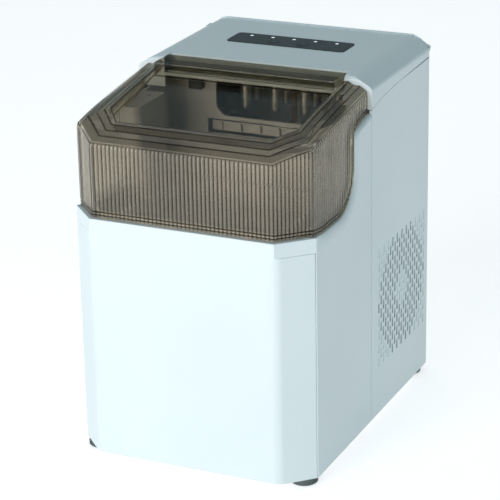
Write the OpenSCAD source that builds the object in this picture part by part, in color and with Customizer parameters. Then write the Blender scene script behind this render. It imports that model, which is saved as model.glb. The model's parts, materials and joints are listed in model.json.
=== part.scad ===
// Countertop ice maker, bullet-ice type, with a smoked hinged lid.
// Origin: middle of the footprint, on the surface that the feet stand on.
// +X is to the right, +Y is to the rear and +Z is up.

/* [Body] */
// Width over the side panels
body_w = 224; // [200:1:260]
// Depth from the collar to the back wall
body_d = 300; // [290:1:340]
// Height of the flat deck above the table
deck_z = 327; // [320:1:360]
// Height of the rubber feet
foot_h = 6; // [4:1:12]
// Radius of the rubber feet
foot_r = 12; // [8:0.5:14]
// Side length of the chamfer on the front corners
front_chamfer = 26.6; // [20:0.2:30]
// Radius of the rear vertical corners
rear_r = 8; // [6:0.5:9]
// Wall thickness of the outer shells
wall = 2.4; // [2:0.1:2.8]
// Gap left at the seams between shells
seam = 0.3; // [0.2:0.05:0.5]

/* [Collar and side rims] */
// Height of the top of the front collar
collar_z = 224.5; // [220:0.5:230]
// Height of the collar band
collar_h = 13; // [10:0.5:16]
// Width of the ledge that carries the lid edge
ledge_w = 8.5; // [7:0.5:9]
// Fall of the side ledge behind the collar
ledge_fall = 3; // [2:0.5:5]
// Distance of the upright part of the side rim in front of the deck
rim_y = 33.7; // [30:0.1:40]
// Radius of the sweep at the foot of the side rim
sweep_r = 36; // [28:1:40]
// Radius of the upper corner of the side rim
rim_r = 9; // [7:0.5:12]
// Height of the upper shelf of the side rim, under the deck
shelf_drop = 36.5; // [34:0.5:38]

/* [Lid] */
// Thickness of the lid walls
lid_t = 2.4; // [2:0.1:3]
// Inset of the lid wall from the side of the body
lid_inset = 3.3; // [3:0.1:4]
// Gap under the lid edge
lid_gap = 0.6; // [0.4:0.1:1]
// Distance of the window and of the hinge flange from the side of the body
flange_in = 26.5; // [26:0.5:32]
// Radius of the hinge barrel
barrel_r = 7; // [6.5:0.1:7.5]
// Radius of the hinge pins
pin_r = 2.5; // [2:0.1:3]
// Length of each hinge pin
pin_l = 5; // [4:0.5:5.5]
// Radial clearance of the hinge pins in their cheeks
pin_fit = 0.06; // [0.03:0.01:0.1]

/* [Control panel] */
// Width of the glossy control panel
panel_w = 115; // [100:1:130]
// Depth of the glossy control panel
panel_d = 30.5; // [28:0.5:36]
// Distance from the deck front to the middle of the panel
panel_y = 84; // [76:1:90]
// Radius of the two push buttons
button_r = 6; // [4:0.5:7]
// Distance between the middles of the two push buttons
button_pitch = 29.2; // [20:0.2:40]
// Travel of the push buttons
button_travel = 0.8; // [0.5:0.1:0.9]
// Number of status windows
led_count = 5; // [3:1:6]
// Distance between status windows
led_pitch = 21; // [16:0.5:22]

/* [Side grilles] */
// Radius of the pierced disc
grille_r = 61; // [50:1:62]
// Radius of the blank hub in the middle
grille_hub = 14.5; // [10:0.5:20]
// Width of one slot
slot_w = 3.2; // [2.4:0.1:3.6]
// Length of one slot
slot_l = 9.5; // [7:0.5:10]
// Distance between slot columns
slot_dx = 5.7; // [5.2:0.1:7]
// Distance between slots in one column
slot_dz = 13; // [12:0.5:15]
// Distance from the deck front to the middle of the grille
grille_y = 75.5; // [74:0.5:77]
// Height of the middle of the grille
grille_z = 109; // [105:1:115]

/* [Ice making] */
// Number of finger columns
finger_cols = 4; // [3:1:4]
// Distance between finger columns
finger_dx = 29.3; // [26:0.1:30]
// Distance between the two finger rows
finger_dy = 26; // [22:1:28]
// Radius of one finger
finger_r = 4.8; // [4:0.1:6]
// Length of one finger
finger_l = 40; // [34:1:44]
// Angle through which the water tray tips
tray_tip = 80; // [60:5:85]
// Forward travel of the ice pusher
pusher_travel = 40; // [20:1:50]

/* [Storage] */
// Thickness of the liner walls
liner_t = 2; // [1.6:0.1:2.4]
// Distance of the liner from the outer face of the body
liner_inset = 11; // [10:0.5:13]
// Height of the basket floor above the table
basket_z = 118; // [110:1:130]
// Height of the basket
basket_h = 100; // [80:1:110]
// Gap between the basket and the liner
basket_gap = 6; // [4:0.5:10]

/* [Cooling] */
// Radius of the compressor can
comp_r = 43; // [36:1:45]
// Height of the compressor can
comp_h = 96; // [80:1:104]
// Radius of the fan blades
fan_r = 50; // [42:1:52]
// Number of fan blades
fan_blades = 7; // [5:1:9]
// Number of condenser fins
fin_count = 24; // [16:1:28]

/* [Hidden] */
$fn = 48;
hw = body_w / 2;
hd = body_d / 2;
big = 2 * body_d;
eps = 0.01;
side_y = -(hd - front_chamfer);
band_z = collar_z - collar_h;
ledge_z = collar_z - ledge_fall;
shelf_z = deck_z - shelf_drop;
shelf_rise = 5;
bevel_w = 2.7;
rim_x = hw - bevel_w;
rim_steps = 10;
deck_y = 0.8;
edge_drop = 9;
edge_in = 16;
axis_y = 6;
axis_z = deck_z - 6.3;
flange_x = hw - flange_in;
notch_y = axis_y + barrel_r + 1.3;
well_z = axis_z - barrel_r - 1.2;
cheek_w = 6.2;
bay_y = 36;
bin_back = 12;
liner_z = 50;
drive_w = 18;
floor_t = 3;
grip = 0.15;
slip = 0.2;

// Plan outline of the body, inset by i, from the front to the line y = back
function plan(i, back) = let (k = i * (sqrt(2) - 1)) [
  [-(hw - i), back], [-(hw - i), side_y + k], [-(hw - front_chamfer - k), -(hd - i)],
  [hw - front_chamfer - k, -(hd - i)], [hw - i, side_y + k], [hw - i, back]];

// Points of an arc in the side view, from angle a to angle b
function sweep(cy, cz, r, a, b) =
  [for (k = [0:rim_steps]) let (t = a + (b - a) * k / rim_steps) [cy + r * cos(t), cz + r * sin(t)]];

// Side rim line: front to rear; r is the sweep radius, up and out move the line
function rim_line(fall, back, r, round_r) = concat(
  [[side_y, collar_z - fall], [side_y + 20, ledge_z - fall]],
  sweep(back - r, ledge_z - fall + r, r, 270, 360),
  sweep(back + round_r, shelf_z - (rim_r - round_r) - round_r, round_r, 180, 100),
  [[-seam, shelf_z + shelf_rise - (rim_r - round_r)]]);

rim = rim_line(0, -rim_y, sweep_r, rim_r);
bevel_fall = 10;
bevel_back = 4;
bevel_layers = 6;
rim_low = rim_line(bevel_fall, -rim_y + bevel_back, sweep_r + bevel_back, rim_r - bevel_back);
rim_under = rim_line(wall, -rim_y + wall, sweep_r + wall, rim_r - wall);

function reversed(p) = [for (k = [len(p) - 1:-1:0]) p[k]];

// Height of the lid shoulder above the table at depth y
function shoulder(y) = let (t = -y / (hd - 3)) deck_z - 11.6 - 16.8 * t - 8.6 * pow(t, 6);

function shoulder_line(up, back) =
  [for (k = [0:rim_steps]) let (y = back + (-hd - back) * k / rim_steps) [y, shoulder(y) + up]];

// Solid that spans x0 to x1 with a side-view outline of [y, z] points
module side_slab(x0, x1, pts) {
  translate([x0, 0, 0]) rotate([90, 0, 90]) linear_extrude(x1 - x0) polygon(pts);
}

module both_sides() {
  children();
  mirror([1, 0, 0]) children();
}

module box(x0, x1, y0, y1, z0, z1) {
  translate([x0, y0, z0]) cube([x1 - x0, y1 - y0, z1 - z0]);
}

// Cylinder along X from x0 to x1
module rod_x(x0, x1, y, z, r) {
  translate([x0, y, z]) rotate([0, 90, 0]) cylinder(r = r, h = x1 - x0);
}

// Cylinder along Y from y0 to y1
module rod_y(x, y0, y1, z, r) {
  translate([x, y0, z]) rotate([-90, 0, 0]) cylinder(r = r, h = y1 - y0);
}

module rod_z(x, y, z0, z1, r) {
  translate([x, y, z0]) cylinder(r = r, h = z1 - z0);
}

// Wall that follows the plan between two insets, in front of the line y = stop
module plan_ring(i0, i1, stop, z0, z1) {
  intersection() {
    translate([0, 0, z0]) linear_extrude(z1 - z0) difference() {
      polygon(plan(i0, 0));
      polygon(plan(i1, 1));
    }
    box(-big, big, -big, stop, z0 - 1, z1 + 1);
  }
}

// ---- Outer shells ----

module front_panel() {
  color("aliceblue") {
    plan_ring(1, 1 + wall, side_y - seam, foot_h, band_z - seam);
    both_sides() box(30, 36, -(hd - 1 - wall), -(hd - 5.4), foot_h + 20, band_z - 20);
  }
}

// Sloping outer bevel of one side rim, built up in thin layers from the outside in
module rim_bevel() {
  layer = bevel_w / bevel_layers;
  for (k = [0:bevel_layers - 1]) {
    f = 1 - (k + 0.5) / bevel_layers;
    x = hw - k * layer;
    side_slab(hw - wall - 0.5, x, concat(rim_line(bevel_fall * f, -rim_y + bevel_back * f,
      sweep_r + bevel_back * f, rim_r - bevel_back * f), [[-seam, foot_h + 150], [side_y, foot_h + 150]]));
  }
}

module side_frame() {
  ledge_in = hw - ledge_w;
  color("lightcyan") {
    both_sides() {
      side_slab(hw - wall, hw, concat(rim_low, [[-seam, foot_h], [side_y, foot_h]]));
      rim_bevel();
      side_slab(ledge_in, rim_x, concat(rim, reversed(rim_under)));
    }
    plan_ring(0, wall, side_y, band_z, collar_z);
    plan_ring(wall, ledge_w, side_y, collar_z - wall, collar_z);
  }
}

seam_line = [[0, deck_z - 28.5], [27, deck_z - 23], [71, deck_z - 20], [body_d, deck_z - 15]];

// Rear part of the plan, with rounded rear corners, inset by i
module rear_plan(i) {
  r = rear_r - i;
  translate([-(hw - i), 0]) square([2 * (hw - i), hd - rear_r]);
  translate([-(hw - rear_r), 0]) square([2 * (hw - rear_r), hd - i]);
  for (s = [-1, 1]) translate([s * (hw - rear_r), hd - rear_r]) circle(r);
}

// Slot pattern of a side grille, in [y, z] around its middle
module slots() {
  half = floor(grille_r / slot_dx);
  rows = ceil(grille_r / slot_dz) + 1;
  straight = slot_l - slot_w;
  for (c = [-half:half], q = [-rows:rows]) {
    y = c * slot_dx;
    z = (q + (c % 2 == 0 ? 0 : 0.5)) * slot_dz;
    d = norm([y, z]);
    if (d < grille_r - slot_l / 2 + 1 && d > grille_hub + slot_l / 2 - 2 && abs(z) < 54)
      translate([y, z]) {
        square([slot_w, straight], center = true);
        for (s = [-1, 1]) translate([0, s * straight / 2]) circle(slot_w / 2, $fn = 16);
      }
  }
}

drain_x = 62;
drain_z = 34;
inlet_x = -70;
inlet_z = 46;
pocket_d = 16;
pocket_h = 17;
screw_xz = [for (s = [-1, 1], z = [22, 280]) [s * (hw - 20), z]];
screw_r = 2;
screw_l = 14;

module rear_shell() {
  vent_w = 4;
  vent_dz = 9;
  color("lightcyan") difference() {
    union() {
      translate([0, 0, foot_h]) linear_extrude(deck_z) difference() {
        rear_plan(0);
        rear_plan(wall);
      }
      box(drain_x - pocket_h - wall, drain_x + pocket_h + wall, hd - pocket_d - wall, hd - wall,
        drain_z - pocket_h - wall, drain_z + pocket_h + wall);
    }
    box(-big, big, -1, seam, -1, big);
    side_slab(-big, big, concat([[-1, seam_line[0][1] - seam / 2]],
      [for (p = seam_line) [p[0], p[1] - seam / 2]], [[body_d, big], [-1, big]]));
    both_sides() translate([hw - wall - 1, grille_y, grille_z]) rotate([90, 0, 90])
      linear_extrude(wall + 2) slots();
    box(drain_x - pocket_h, drain_x + pocket_h, hd - pocket_d, hd + 1, drain_z - pocket_h, drain_z + pocket_h);
    rod_y(drain_x, hd - pocket_d - wall - 1, hd, drain_z, 8);
    box(inlet_x - 14, inlet_x + 14, hd - wall - 1, hd + 1, inlet_z - 11, inlet_z + 11);
    for (k = [0:8]) box(-46, 46, hd - wall - 1, hd + 1, 150 + k * vent_dz, 150 + k * vent_dz + vent_w);
    for (p = screw_xz) rod_y(p[0], hd - wall - 1, hd + 1, p[1], screw_r + 0.1);
  }
}

// Deck cross-section in [x, z], inset by i
function deck_section(i) = [[-(hw - i), 200], [-(hw - i), deck_z - edge_drop - i * 0.5],
  [-(hw - edge_in - i * 0.3), deck_z - i], [hw - edge_in - i * 0.3, deck_z - i],
  [hw - i, deck_z - edge_drop - i * 0.5], [hw - i, 200]];

module top_cover() {
  cheek_x = flange_x + 0.7;
  color("lightcyan") difference() {
    union() {
      difference() {
        translate([0, hd, 0]) rotate([90, 0, 0]) linear_extrude(hd - deck_y) polygon(deck_section(0));
        translate([0, hd - wall, 0]) rotate([90, 0, 0]) linear_extrude(hd) polygon(deck_section(wall));
      }
      // front wall beside the bay, the hinge well and the hinge cheeks
      both_sides() box(cheek_x, hw - wall, deck_y, deck_y + wall, deck_z - 28, deck_z - 10);
      both_sides() box(cheek_x, cheek_x + cheek_w, deck_y, notch_y + wall, well_z - wall, deck_z - 1);
      box(-cheek_x - eps, cheek_x + eps, deck_y, notch_y + wall, well_z - wall, well_z);
      box(-cheek_x - eps, cheek_x + eps, notch_y, notch_y + wall, well_z - eps, deck_z - 1);
    }
    box(-cheek_x, cheek_x, -1, notch_y, well_z, big);
    side_slab(-big, big, [[deck_y - 1, deck_z - 3.5], [deck_y, deck_z - 2.5], [deck_y + 2.5, deck_z],
      [deck_y + 2.5, deck_z + 1], [deck_y - 1, deck_z + 1]]);
    both_sides() rod_x(cheek_x - 1, cheek_x + pin_l + 0.5, axis_y, axis_z, pin_r + pin_fit);
    side_slab(-big, big, concat([[-1, 0], [-1, seam_line[0][1] + seam / 2]],
      [for (p = seam_line) [p[0], p[1] + seam / 2]], [[body_d, 0]]));
    difference() {
      box(-big, big, hd - rear_r, big, 0, big);
      linear_extrude(big) rear_plan(0);
    }
    // the seat of the control panel and the passages below it
    box(-panel_w / 2 - grip, panel_w / 2 + grip, panel_y - panel_d / 2 - grip,
      panel_y + panel_d / 2 + grip, deck_z - 1.2, big);
    for (x = leds) rod_z(x, led_y, deck_z - 10, deck_z, 2.2);
    for (s = [-1, 1]) rod_z(s * button_pitch / 2, button_y, deck_z - 10, deck_z, 4.4);
  }
}

module base_plate() {
  color("gainsboro") difference() {
    union() {
      translate([0, 0, foot_h]) linear_extrude(floor_t) {
        polygon(plan(wall + 1 + seam, 0));
        translate([0, -eps]) rear_plan(wall + seam);
      }
      for (p = comp_bolts) rod_z(p[0], p[1], foot_h + floor_t - eps, foot_h + floor_t + 4, 5);
    }
    for (p = foot_xy) rod_z(p[0], p[1], foot_h - 1, foot_h + floor_t + 1, 4);
    for (p = comp_bolts) rod_z(p[0], p[1], foot_h - 1, foot_h + 20, 1.6);
    for (k = [-3:3]) box(40 + k * 7, 43 + k * 7, 70, 120, foot_h - 1, foot_h + floor_t + 1);
  }
}

foot_in = 12;
foot_xy = [for (x = [-1, 1], y = [-1, 1]) [x * (hw - foot_in - 2), y < 0 ? side_y + 2 : hd - foot_in - 6]];

module rubber_feet() {
  color("darkslategray") for (p = foot_xy) {
    difference() {
      translate([p[0], p[1], 0]) rotate_extrude() polygon([[0, 0], [foot_r - 1, 0], [foot_r, 1],
        [foot_r, foot_h - 1], [foot_r - 0.6, foot_h], [0, foot_h]]);
      rod_z(p[0], p[1], -1, 1.5, 4);
    }
    rod_z(p[0], p[1], foot_h - eps, foot_h + floor_t, 4 - 0.05);
    rod_z(p[0], p[1], foot_h + floor_t - eps, foot_h + floor_t + 1.5, 4 - 0.05);
  }
}

// ---- Control panel ----

leds = [for (k = [0:led_count - 1]) (k - (led_count - 1) / 2) * led_pitch];
led_y = panel_y + 8.5;
button_y = panel_y - 4.5;
panel_z = deck_z + 0.8;

module control_panel() {
  color("black") difference() {
    translate([0, panel_y, deck_z - 1.2]) linear_extrude(2) offset(4) offset(-4)
      square([panel_w, panel_d], center = true);
    for (x = leds) rod_z(x, led_y, deck_z - 2, panel_z + 1, 1.8);
    for (s = [-1, 1]) rod_z(s * button_pitch / 2, button_y, deck_z - 2, panel_z + 1, button_r + 0.15);
  }
}

module led_lenses() {
  color("white") for (x = leds) {
    rod_z(x, led_y, deck_z - 6, panel_z - 0.1, 1.75);
  }
}

// Round push button with a stem down to its switch
module push_button(x) {
  rod_z(x, button_y, deck_z - 1.1 + button_travel, panel_z + 0.2, button_r);
  rod_z(x, button_y, deck_z - 6.6 + button_travel, deck_z - 0.5, 3);
}

module power_button() {
  color("black") push_button(-button_pitch / 2);
}

module select_button() {
  color("black") push_button(button_pitch / 2);
}

board_z = deck_z - 12;

module display_board() {
  color("seagreen") box(-panel_w / 2, panel_w / 2, panel_y - 18, panel_y + 18, board_z, board_z + 1.6);
  color("dimgray") for (s = [-1, 1]) translate([s * button_pitch / 2, button_y, board_z + 1.6])
    translate([-3, -3, 0]) cube([6, 6, 3.5]);
  color("white") for (x = leds) rod_z(x, led_y, board_z + 1.6, board_z + 4, 1.5);
  color("seagreen") for (s = [-1, 1]) rod_z(s * 52, panel_y + 6, board_z + 1.6, deck_z - wall, 2.5);
}

// ---- Lid ----

win_back = -21;
win_in = flange_in - 0.5;
win_slope = 0.189;
win_z = deck_z - 6.5;
lid_back = -1;

// Height of the window pane at depth y
function pane(y) = win_z + y * win_slope;

module lid_block(i, up, low) {
  intersection() {
    translate([0, 0, low]) linear_extrude(big) polygon(plan(lid_inset + i, lid_back));
    side_slab(-big, big, concat(shoulder_line(up, lid_back), [[-hd, 0], [lid_back, 0]]));
  }
}

module lid() {
  gap_line = [for (p = rim_line(-lid_gap, -rim_y - lid_gap, sweep_r - lid_gap, rim_r + lid_gap)) p];
  top_t = 2.4;
  color("darkslategray", 0.7) difference() {
    union() {
      difference() {
        union() {
          lid_block(0, 0, band_z);
          lid_block(8, 3, band_z);
          lid_block(15, 5.5, band_z);
        }
        intersection() {
          union() {
            lid_block(lid_t, -top_t, band_z - 1);
            lid_block(8 + lid_t, 3 - top_t, band_z - 1);
          }
          union() {
            box(-big, big, -big, lid_back - lid_t, 0, big);
            box(-flange_x, flange_x, -big, big, 0, big);
            box(-hw + liner_inset - 0.5, hw - liner_inset + 0.5, -big, big, 0, shelf_z + shelf_rise + 5.5);
          }
        }
        // the sunk window, cut right through
        translate([0, 0, 200]) linear_extrude(big) polygon(plan(win_in, win_back));
        // everything under the edge that rests on the side rims
        side_slab(-big, big, concat([[-big, collar_z + lid_gap]], gap_line, [[50, shelf_z + shelf_rise],
          [50, 0], [-big, 0]]));
      }
      // the pane and the frame that holds it
      intersection() {
        translate([0, 0, 200]) linear_extrude(big) polygon(plan(win_in - lid_t, win_back));
        side_slab(-big, big, [[-hd, pane(-hd)], [win_back, pane(win_back)],
          [win_back, pane(win_back) - lid_t], [-hd, pane(-hd) - lid_t]]);
      }
      intersection() {
        translate([0, 0, 200]) linear_extrude(big) difference() {
          polygon(plan(win_in - lid_t, win_back));
          polygon(plan(win_in, win_back + 1));
        }
        side_slab(-big, big, concat(shoulder_line(5.5, win_back),
          [[-hd, pane(-hd) - lid_t], [win_back, pane(win_back) - lid_t]]));
      }
      // hinge flange with its barrel
      box(-flange_x, flange_x, win_back - top_t, axis_y, deck_z + 0.7 - top_t, deck_z + 0.7);
      box(-flange_x, flange_x, win_back - top_t, win_back, pane(win_back) - top_t, deck_z + 0.7);
      rod_x(-flange_x, flange_x, axis_y, axis_z, barrel_r);
      rod_x(-flange_x - pin_l, flange_x + pin_l, axis_y, axis_z, pin_r);
    }
    box(-flange_x + 12, flange_x - 12, -big, axis_y - 1, axis_z - barrel_r - 1, axis_z + 2);
  }
}

// ---- Storage bin ----

module liner_plan(i, back) {
  polygon(plan(liner_inset + i, back));
}

module inner_liner() {
  lip = 4;
  top_line = [for (p = rim) [p[0] - 2, p[1] + lip]];
  inner = hw - liner_inset - liner_t;
  color("whitesmoke") difference() {
    union() {
      intersection() {
        union() {
          translate([0, 0, liner_z]) linear_extrude(step_z - liner_z) difference() {
            liner_plan(0, bin_back);
            liner_plan(liner_t, bin_back - liner_t);
          }
          translate([0, 0, step_z]) linear_extrude(big) difference() {
            liner_plan(0, bay_y);
            liner_plan(liner_t, bay_y + 1);
          }
        }
        side_slab(-big, big, concat([[-big, collar_z + lip]], top_line,
          [[-2, deck_z - 29], [bay_y, deck_z - 29], [bay_y, 0], [-big, 0]]));
      }
      translate([0, 0, liner_z]) linear_extrude(liner_t) liner_plan(0, bin_back);
      box(-inner - 1, inner + 1, bin_back - liner_t, bay_y, step_z - liner_t, step_z);
      both_sides() box(60, inner + 1, -110, bin_back - 1, basket_z - 3.2, basket_z - 0.2);
    }
    for (x = [-30, 30]) rod_z(x, 0, liner_z - 1, liner_z + 3, 4);
  }
}

step_z = 246;

foam_in = 5.6;

module insulation() {
  color("lightyellow") intersection() {
    translate([0, 0, liner_z - 16]) linear_extrude(collar_z - 12 - liner_z + 16) difference() {
      polygon(plan(foam_in, bin_back));
      polygon(plan(liner_inset - 0.4, bay_y));
    }
    box(-big, big, -big, -4, 0, big);
  }
}

slot_z0 = 249;
slot_z1 = 262.5;
win_lo = 266;
window_x0 = -53;
window_x1 = 76;
push_x0 = -59;
push_x1 = 79;
push_side = 3;
sensor_x = -70;
sensor_z = 296;
sensor_r = 3;

// Wall between the bin and the ice-making bay, with a U-shaped window and the slot of the pusher
module bulkhead() {
  r = 12;
  side = hw - liner_inset - liner_t - slip;
  front = bay_y - 1;
  back = bay_y + wall + 1.6;
  color("gainsboro") difference() {
    box(-side, side, bay_y + slip, bay_y + wall + slip, step_z + 1, well_z - wall - 1);
    box(window_x0, window_x1, front, back, win_lo + r, big);
    box(window_x0 + r, window_x1 - r, front, back, win_lo, big);
    rod_y(window_x0 + r, front, back, win_lo + r, r);
    rod_y(window_x1 - r, front, back, win_lo + r, r);
    box(push_x0 - push_side, push_x1 + push_side, front, back, slot_z0, slot_z1);
    rod_y(sensor_x, front, back, sensor_z, sensor_r + slip);
  }
}

drive_y0 = -62;
drive_y1 = -10;
drive_z0 = 150;
drive_z1 = 297;

// Housing of the drive on the left wall of the bin, with one round corner
module drive_housing() {
  x0 = -(hw - liner_inset - liner_t - slip);
  x1 = x0 + drive_w;
  r = 8;
  t = 2;
  roof = 3;
  color("gainsboro") difference() {
    union() {
      box(x0, x1 - r, drive_y0, drive_y1, drive_z0, drive_z1);
      box(x0, x1, drive_y0 + r, drive_y1, drive_z0, drive_z1);
      rod_z(x1 - r, drive_y0 + r, drive_z0, drive_z1, r);
    }
    box(x0 + t, x1 - r - t, drive_y0 + r + t, drive_y1 - t, drive_z0 - 1, drive_z1 - roof);
    rod_z(x0 + drive_w / 2, drive_y1 - 14, drive_z1 - roof - 1, drive_z1 + 1, t);
  }
}

basket_in = liner_inset + liner_t + drive_w + basket_gap / 2;
basket_shift = -14;
basket_back = bin_back - liner_t - basket_gap - basket_shift;

// Basket outline, inset by i
module basket_plan(i) {
  translate([0, basket_shift]) polygon(plan(basket_in + i, basket_back - i));
}

module ice_basket() {
  t = 2;
  rows = 3;
  color("white", 0.9) difference() {
    union() {
      difference() {
        translate([0, 0, basket_z]) linear_extrude(basket_h) basket_plan(0);
        translate([0, 0, basket_z + t]) linear_extrude(basket_h) basket_plan(t);
      }
      difference() {
        translate([0, 0, basket_z + basket_h - t]) linear_extrude(t) basket_plan(-2);
        translate([0, 0, basket_z + basket_h - 2 * t]) linear_extrude(3 * t) basket_plan(t);
      }
    }
    for (x = [-3:3], y = [0:4]) box(x * 20 - 2.5, x * 20 + 2.5, -108 + y * 20, -96 + y * 20,
      basket_z - 1, basket_z + t + 1);
    for (x = [-4:4], q = [0:rows - 1]) box(x * 14 - 2, x * 14 + 2, -hd, big,
      basket_z + 18 + q * 24, basket_z + 34 + q * 24);
    both_sides() rod_x(-big, big, -55, basket_z + basket_h - 12, 6);
  }
}

// Scoop lying in the basket, bowl to the front and handle to the rear
module ice_scoop() {
  x = 20;
  y = -116;
  z = basket_z + 2.4;
  t = 1.8;
  color("white", 0.9) {
    difference() {
      box(x - 26, x + 26, y, y + 62, z, z + 26);
      box(x - 26 + t, x + 26 - t, y - 1, y + 62 - t, z + t, z + 40);
      side_slab(x - 40, x + 40, [[y - 1, z + 4], [y + 26, z + 27], [y - 1, z + 27]]);
    }
    box(x - 9, x + 9, y + 61, y + 112, z + 19, z + 22.5);
    box(x - 2, x + 2, y + 61, y + 108, z + 13, z + 19.5);
  }
}

// ---- Ice making bay ----

finger_y = 60;
finger_x0 = -34;
finger_top = deck_z - 21;

module at_fingers() {
  for (c = [0:finger_cols - 1], q = [0:1])
    translate([finger_x0 + c * finger_dx, finger_y + q * finger_dy, 0]) children();
}

evap_x0 = finger_x0 - 12;
evap_x1 = finger_x0 + (finger_cols - 1) * finger_dx + 12;

module evaporator_block() {
  color("silver") difference() {
    box(evap_x0, evap_x1, finger_y - 10, finger_y + finger_dy + 10, finger_top, finger_top + 6);
    for (q = [0:1]) rod_x(evap_x0 - 1, evap_x1 + 1, finger_y + q * finger_dy, finger_top + 8, 4);
  }
}

module evaporator_fingers() {
  color("silver") at_fingers() {
    translate([0, 0, finger_top - finger_l + finger_r]) {
      cylinder(r = finger_r, h = finger_l - finger_r);
      sphere(finger_r);
    }
  }
}

pivot_y = 102;
pivot_z = 276;
tray_x0 = -49;
tray_x1 = 70;
tray_y0 = 50;
tray_y1 = 98;
tray_z0 = 262;
tray_z1 = 279;
shaft_r = 2.5;
shaft_x0 = -66;
motor_x0 = -90;
motor_x1 = -55;

// Tray that holds the water around the fingers, with two ears on its shaft
module water_tray() {
  t = 2;
  ear_t = 4;
  ear_r = 6;
  color("white") difference() {
    union() {
      box(tray_x0, tray_x1, tray_y0, tray_y1, tray_z0, tray_z1);
      for (x = [tray_x0, tray_x1 - ear_t]) {
        box(x, x + ear_t, tray_y1 - 8, pivot_y, pivot_z - ear_r, pivot_z + ear_r - 2);
        rod_x(x, x + ear_t, pivot_y, pivot_z, ear_r);
      }
    }
    box(tray_x0 + t, tray_x1 - t, tray_y0 + t, tray_y1 - t, tray_z0 + t, tray_z1 + ear_r);
    rod_x(tray_x0 - 1, tray_x1 + 1, pivot_y, pivot_z, shaft_r);
  }
}

module tray_shaft() {
  color("silver") rod_x(shaft_x0, tray_x1 + 8, pivot_y, pivot_z, shaft_r);
}

// Sheet bracket that hangs the shaft from above the evaporator
module tray_bracket() {
  ear_t = 3;
  y0 = 90;
  y1 = 112;
  top = finger_top + 8.3;
  color("lightgray") difference() {
    union() {
      box(tray_x0 - 1 - ear_t, tray_x0 - 1, y0, y1, tray_z0, top);
      box(tray_x1 + 1, tray_x1 + 1 + ear_t, y0, y1, tray_z0, top);
      box(tray_x0 - 1 - ear_t, tray_x1 + 1 + ear_t, y0 + 10, y1, top - 2, top);
    }
    rod_x(-hw, hw, pivot_y, pivot_z, shaft_r + pin_fit);
  }
}

// Geared motor that turns the tray shaft
module tray_motor() {
  half = 16;
  color("lightgray") difference() {
    union() {
      box(motor_x0, motor_x1, pivot_y - half, pivot_y + half, pivot_z - 20, pivot_z + half);
      rod_x(motor_x1 - eps, motor_x1 + 1.8, pivot_y, pivot_z, 7);
      rod_x(motor_x0 - 8, motor_x0, pivot_y, pivot_z, 13);
    }
    rod_x(shaft_x0 - 1, motor_x1 + 5, pivot_y, pivot_z, shaft_r + pin_fit);
  }
}

push_z0 = 251;

// Blade across the bay, with seven teeth in front and two arms behind
module ice_pusher() {
  blade_y = bay_y + 4;
  blade_t = 3;
  blade_h = 9;
  arm_end = 84;
  tooth_dx = 19;
  tooth_l = 3.5;
  color("whitesmoke") {
    box(push_x0, push_x1, blade_y, blade_y + blade_t, push_z0, push_z0 + blade_h);
    for (x = [push_x0, push_x1 - blade_t])
      box(x, x + blade_t, blade_y + blade_t - eps, arm_end, push_z0 + 1, push_z0 + blade_h - 2);
    for (k = [0:6]) box(push_x0 + 9 + k * tooth_dx, push_x0 + 11 + k * tooth_dx, blade_y - tooth_l,
      blade_y + eps, push_z0 + 1, push_z0 + blade_h - 1);
  }
}

// Full-bin sender and receiver on the front of the bulkhead
module ice_sensors() {
  deep = 9;
  z0 = sensor_z - 5;
  z1 = sensor_z + 6;
  color("dimgray") {
    box(sensor_x - 6, sensor_x + 6, bay_y - deep, bay_y, z0, z1);
    rod_y(sensor_x, bay_y - eps, bay_y + 6, sensor_z, sensor_r);
    box(-sensor_x + 14, -sensor_x + 24, bay_y - deep, bay_y, z0, z1);
  }
}

float_x = 80;
float_y = -8;

stem_r = 3;
stop_r = 6;
foot_top = 60;
stop_z = 98;

// Stem of the water-level switch, with a foot and a stop
module float_switch() {
  color("whitesmoke") {
    rod_z(float_x, float_y, liner_z + liner_t, stop_z + 2, stem_r);
    rod_z(float_x, float_y, liner_z + liner_t, foot_top, stop_r);
    rod_z(float_x, float_y, stop_z, stop_z + 4, stop_r);
  }
}

module float_ring() {
  float_h = 17.7;
  bottom = foot_top + seam;
  color("white") difference() {
    rod_z(float_x, float_y, bottom, bottom + float_h, stop_r + 3);
    rod_z(float_x, float_y, bottom - 1, bottom + float_h + 1, stem_r + pin_fit);
  }
}

pump_x = -80;
pump_y = 108;
hose_y = 76;
hose_r = 4;

pump_z0 = 60;
pump_z1 = 90;
nozzle_z = 100;
hose_low = 125;
hose_high = 288;

module water_pump() {
  color("dimgray") {
    rod_z(pump_x, pump_y, pump_z0, pump_z1, 17);
    rod_z(pump_x, pump_y, pump_z1 - eps, nozzle_z, 3);
    box(pump_x - 14, pump_x + 14, pump_y - 6, pump_y + 6, pump_z0 - 4, pump_z0 + eps);
  }
}

// Hose from the pump up to the tray, with a ball at each turn
module pump_hose() {
  color("lightgray") {
    rod_z(pump_x, pump_y, nozzle_z + slip, hose_low, hose_r);
    rod_y(pump_x, hose_y, pump_y, hose_low, hose_r);
    rod_z(pump_x, hose_y, hose_low, hose_high, hose_r);
    rod_x(pump_x, tray_x0 - 2, hose_y, hose_high, hose_r);
    for (p = [[pump_y, hose_low], [hose_y, hose_low], [hose_y, hose_high]])
      translate([pump_x, p[0], p[1]]) sphere(1.1 * hose_r);
  }
}

// ---- Cooling ----

comp_x = -14;
comp_y = 92;
comp_bolts = [for (a = [0:3]) [comp_x + 40 * cos(45 + a * 90), comp_y + 40 * sin(45 + a * 90)]];
comp_z = foot_h + floor_t + 10;

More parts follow.
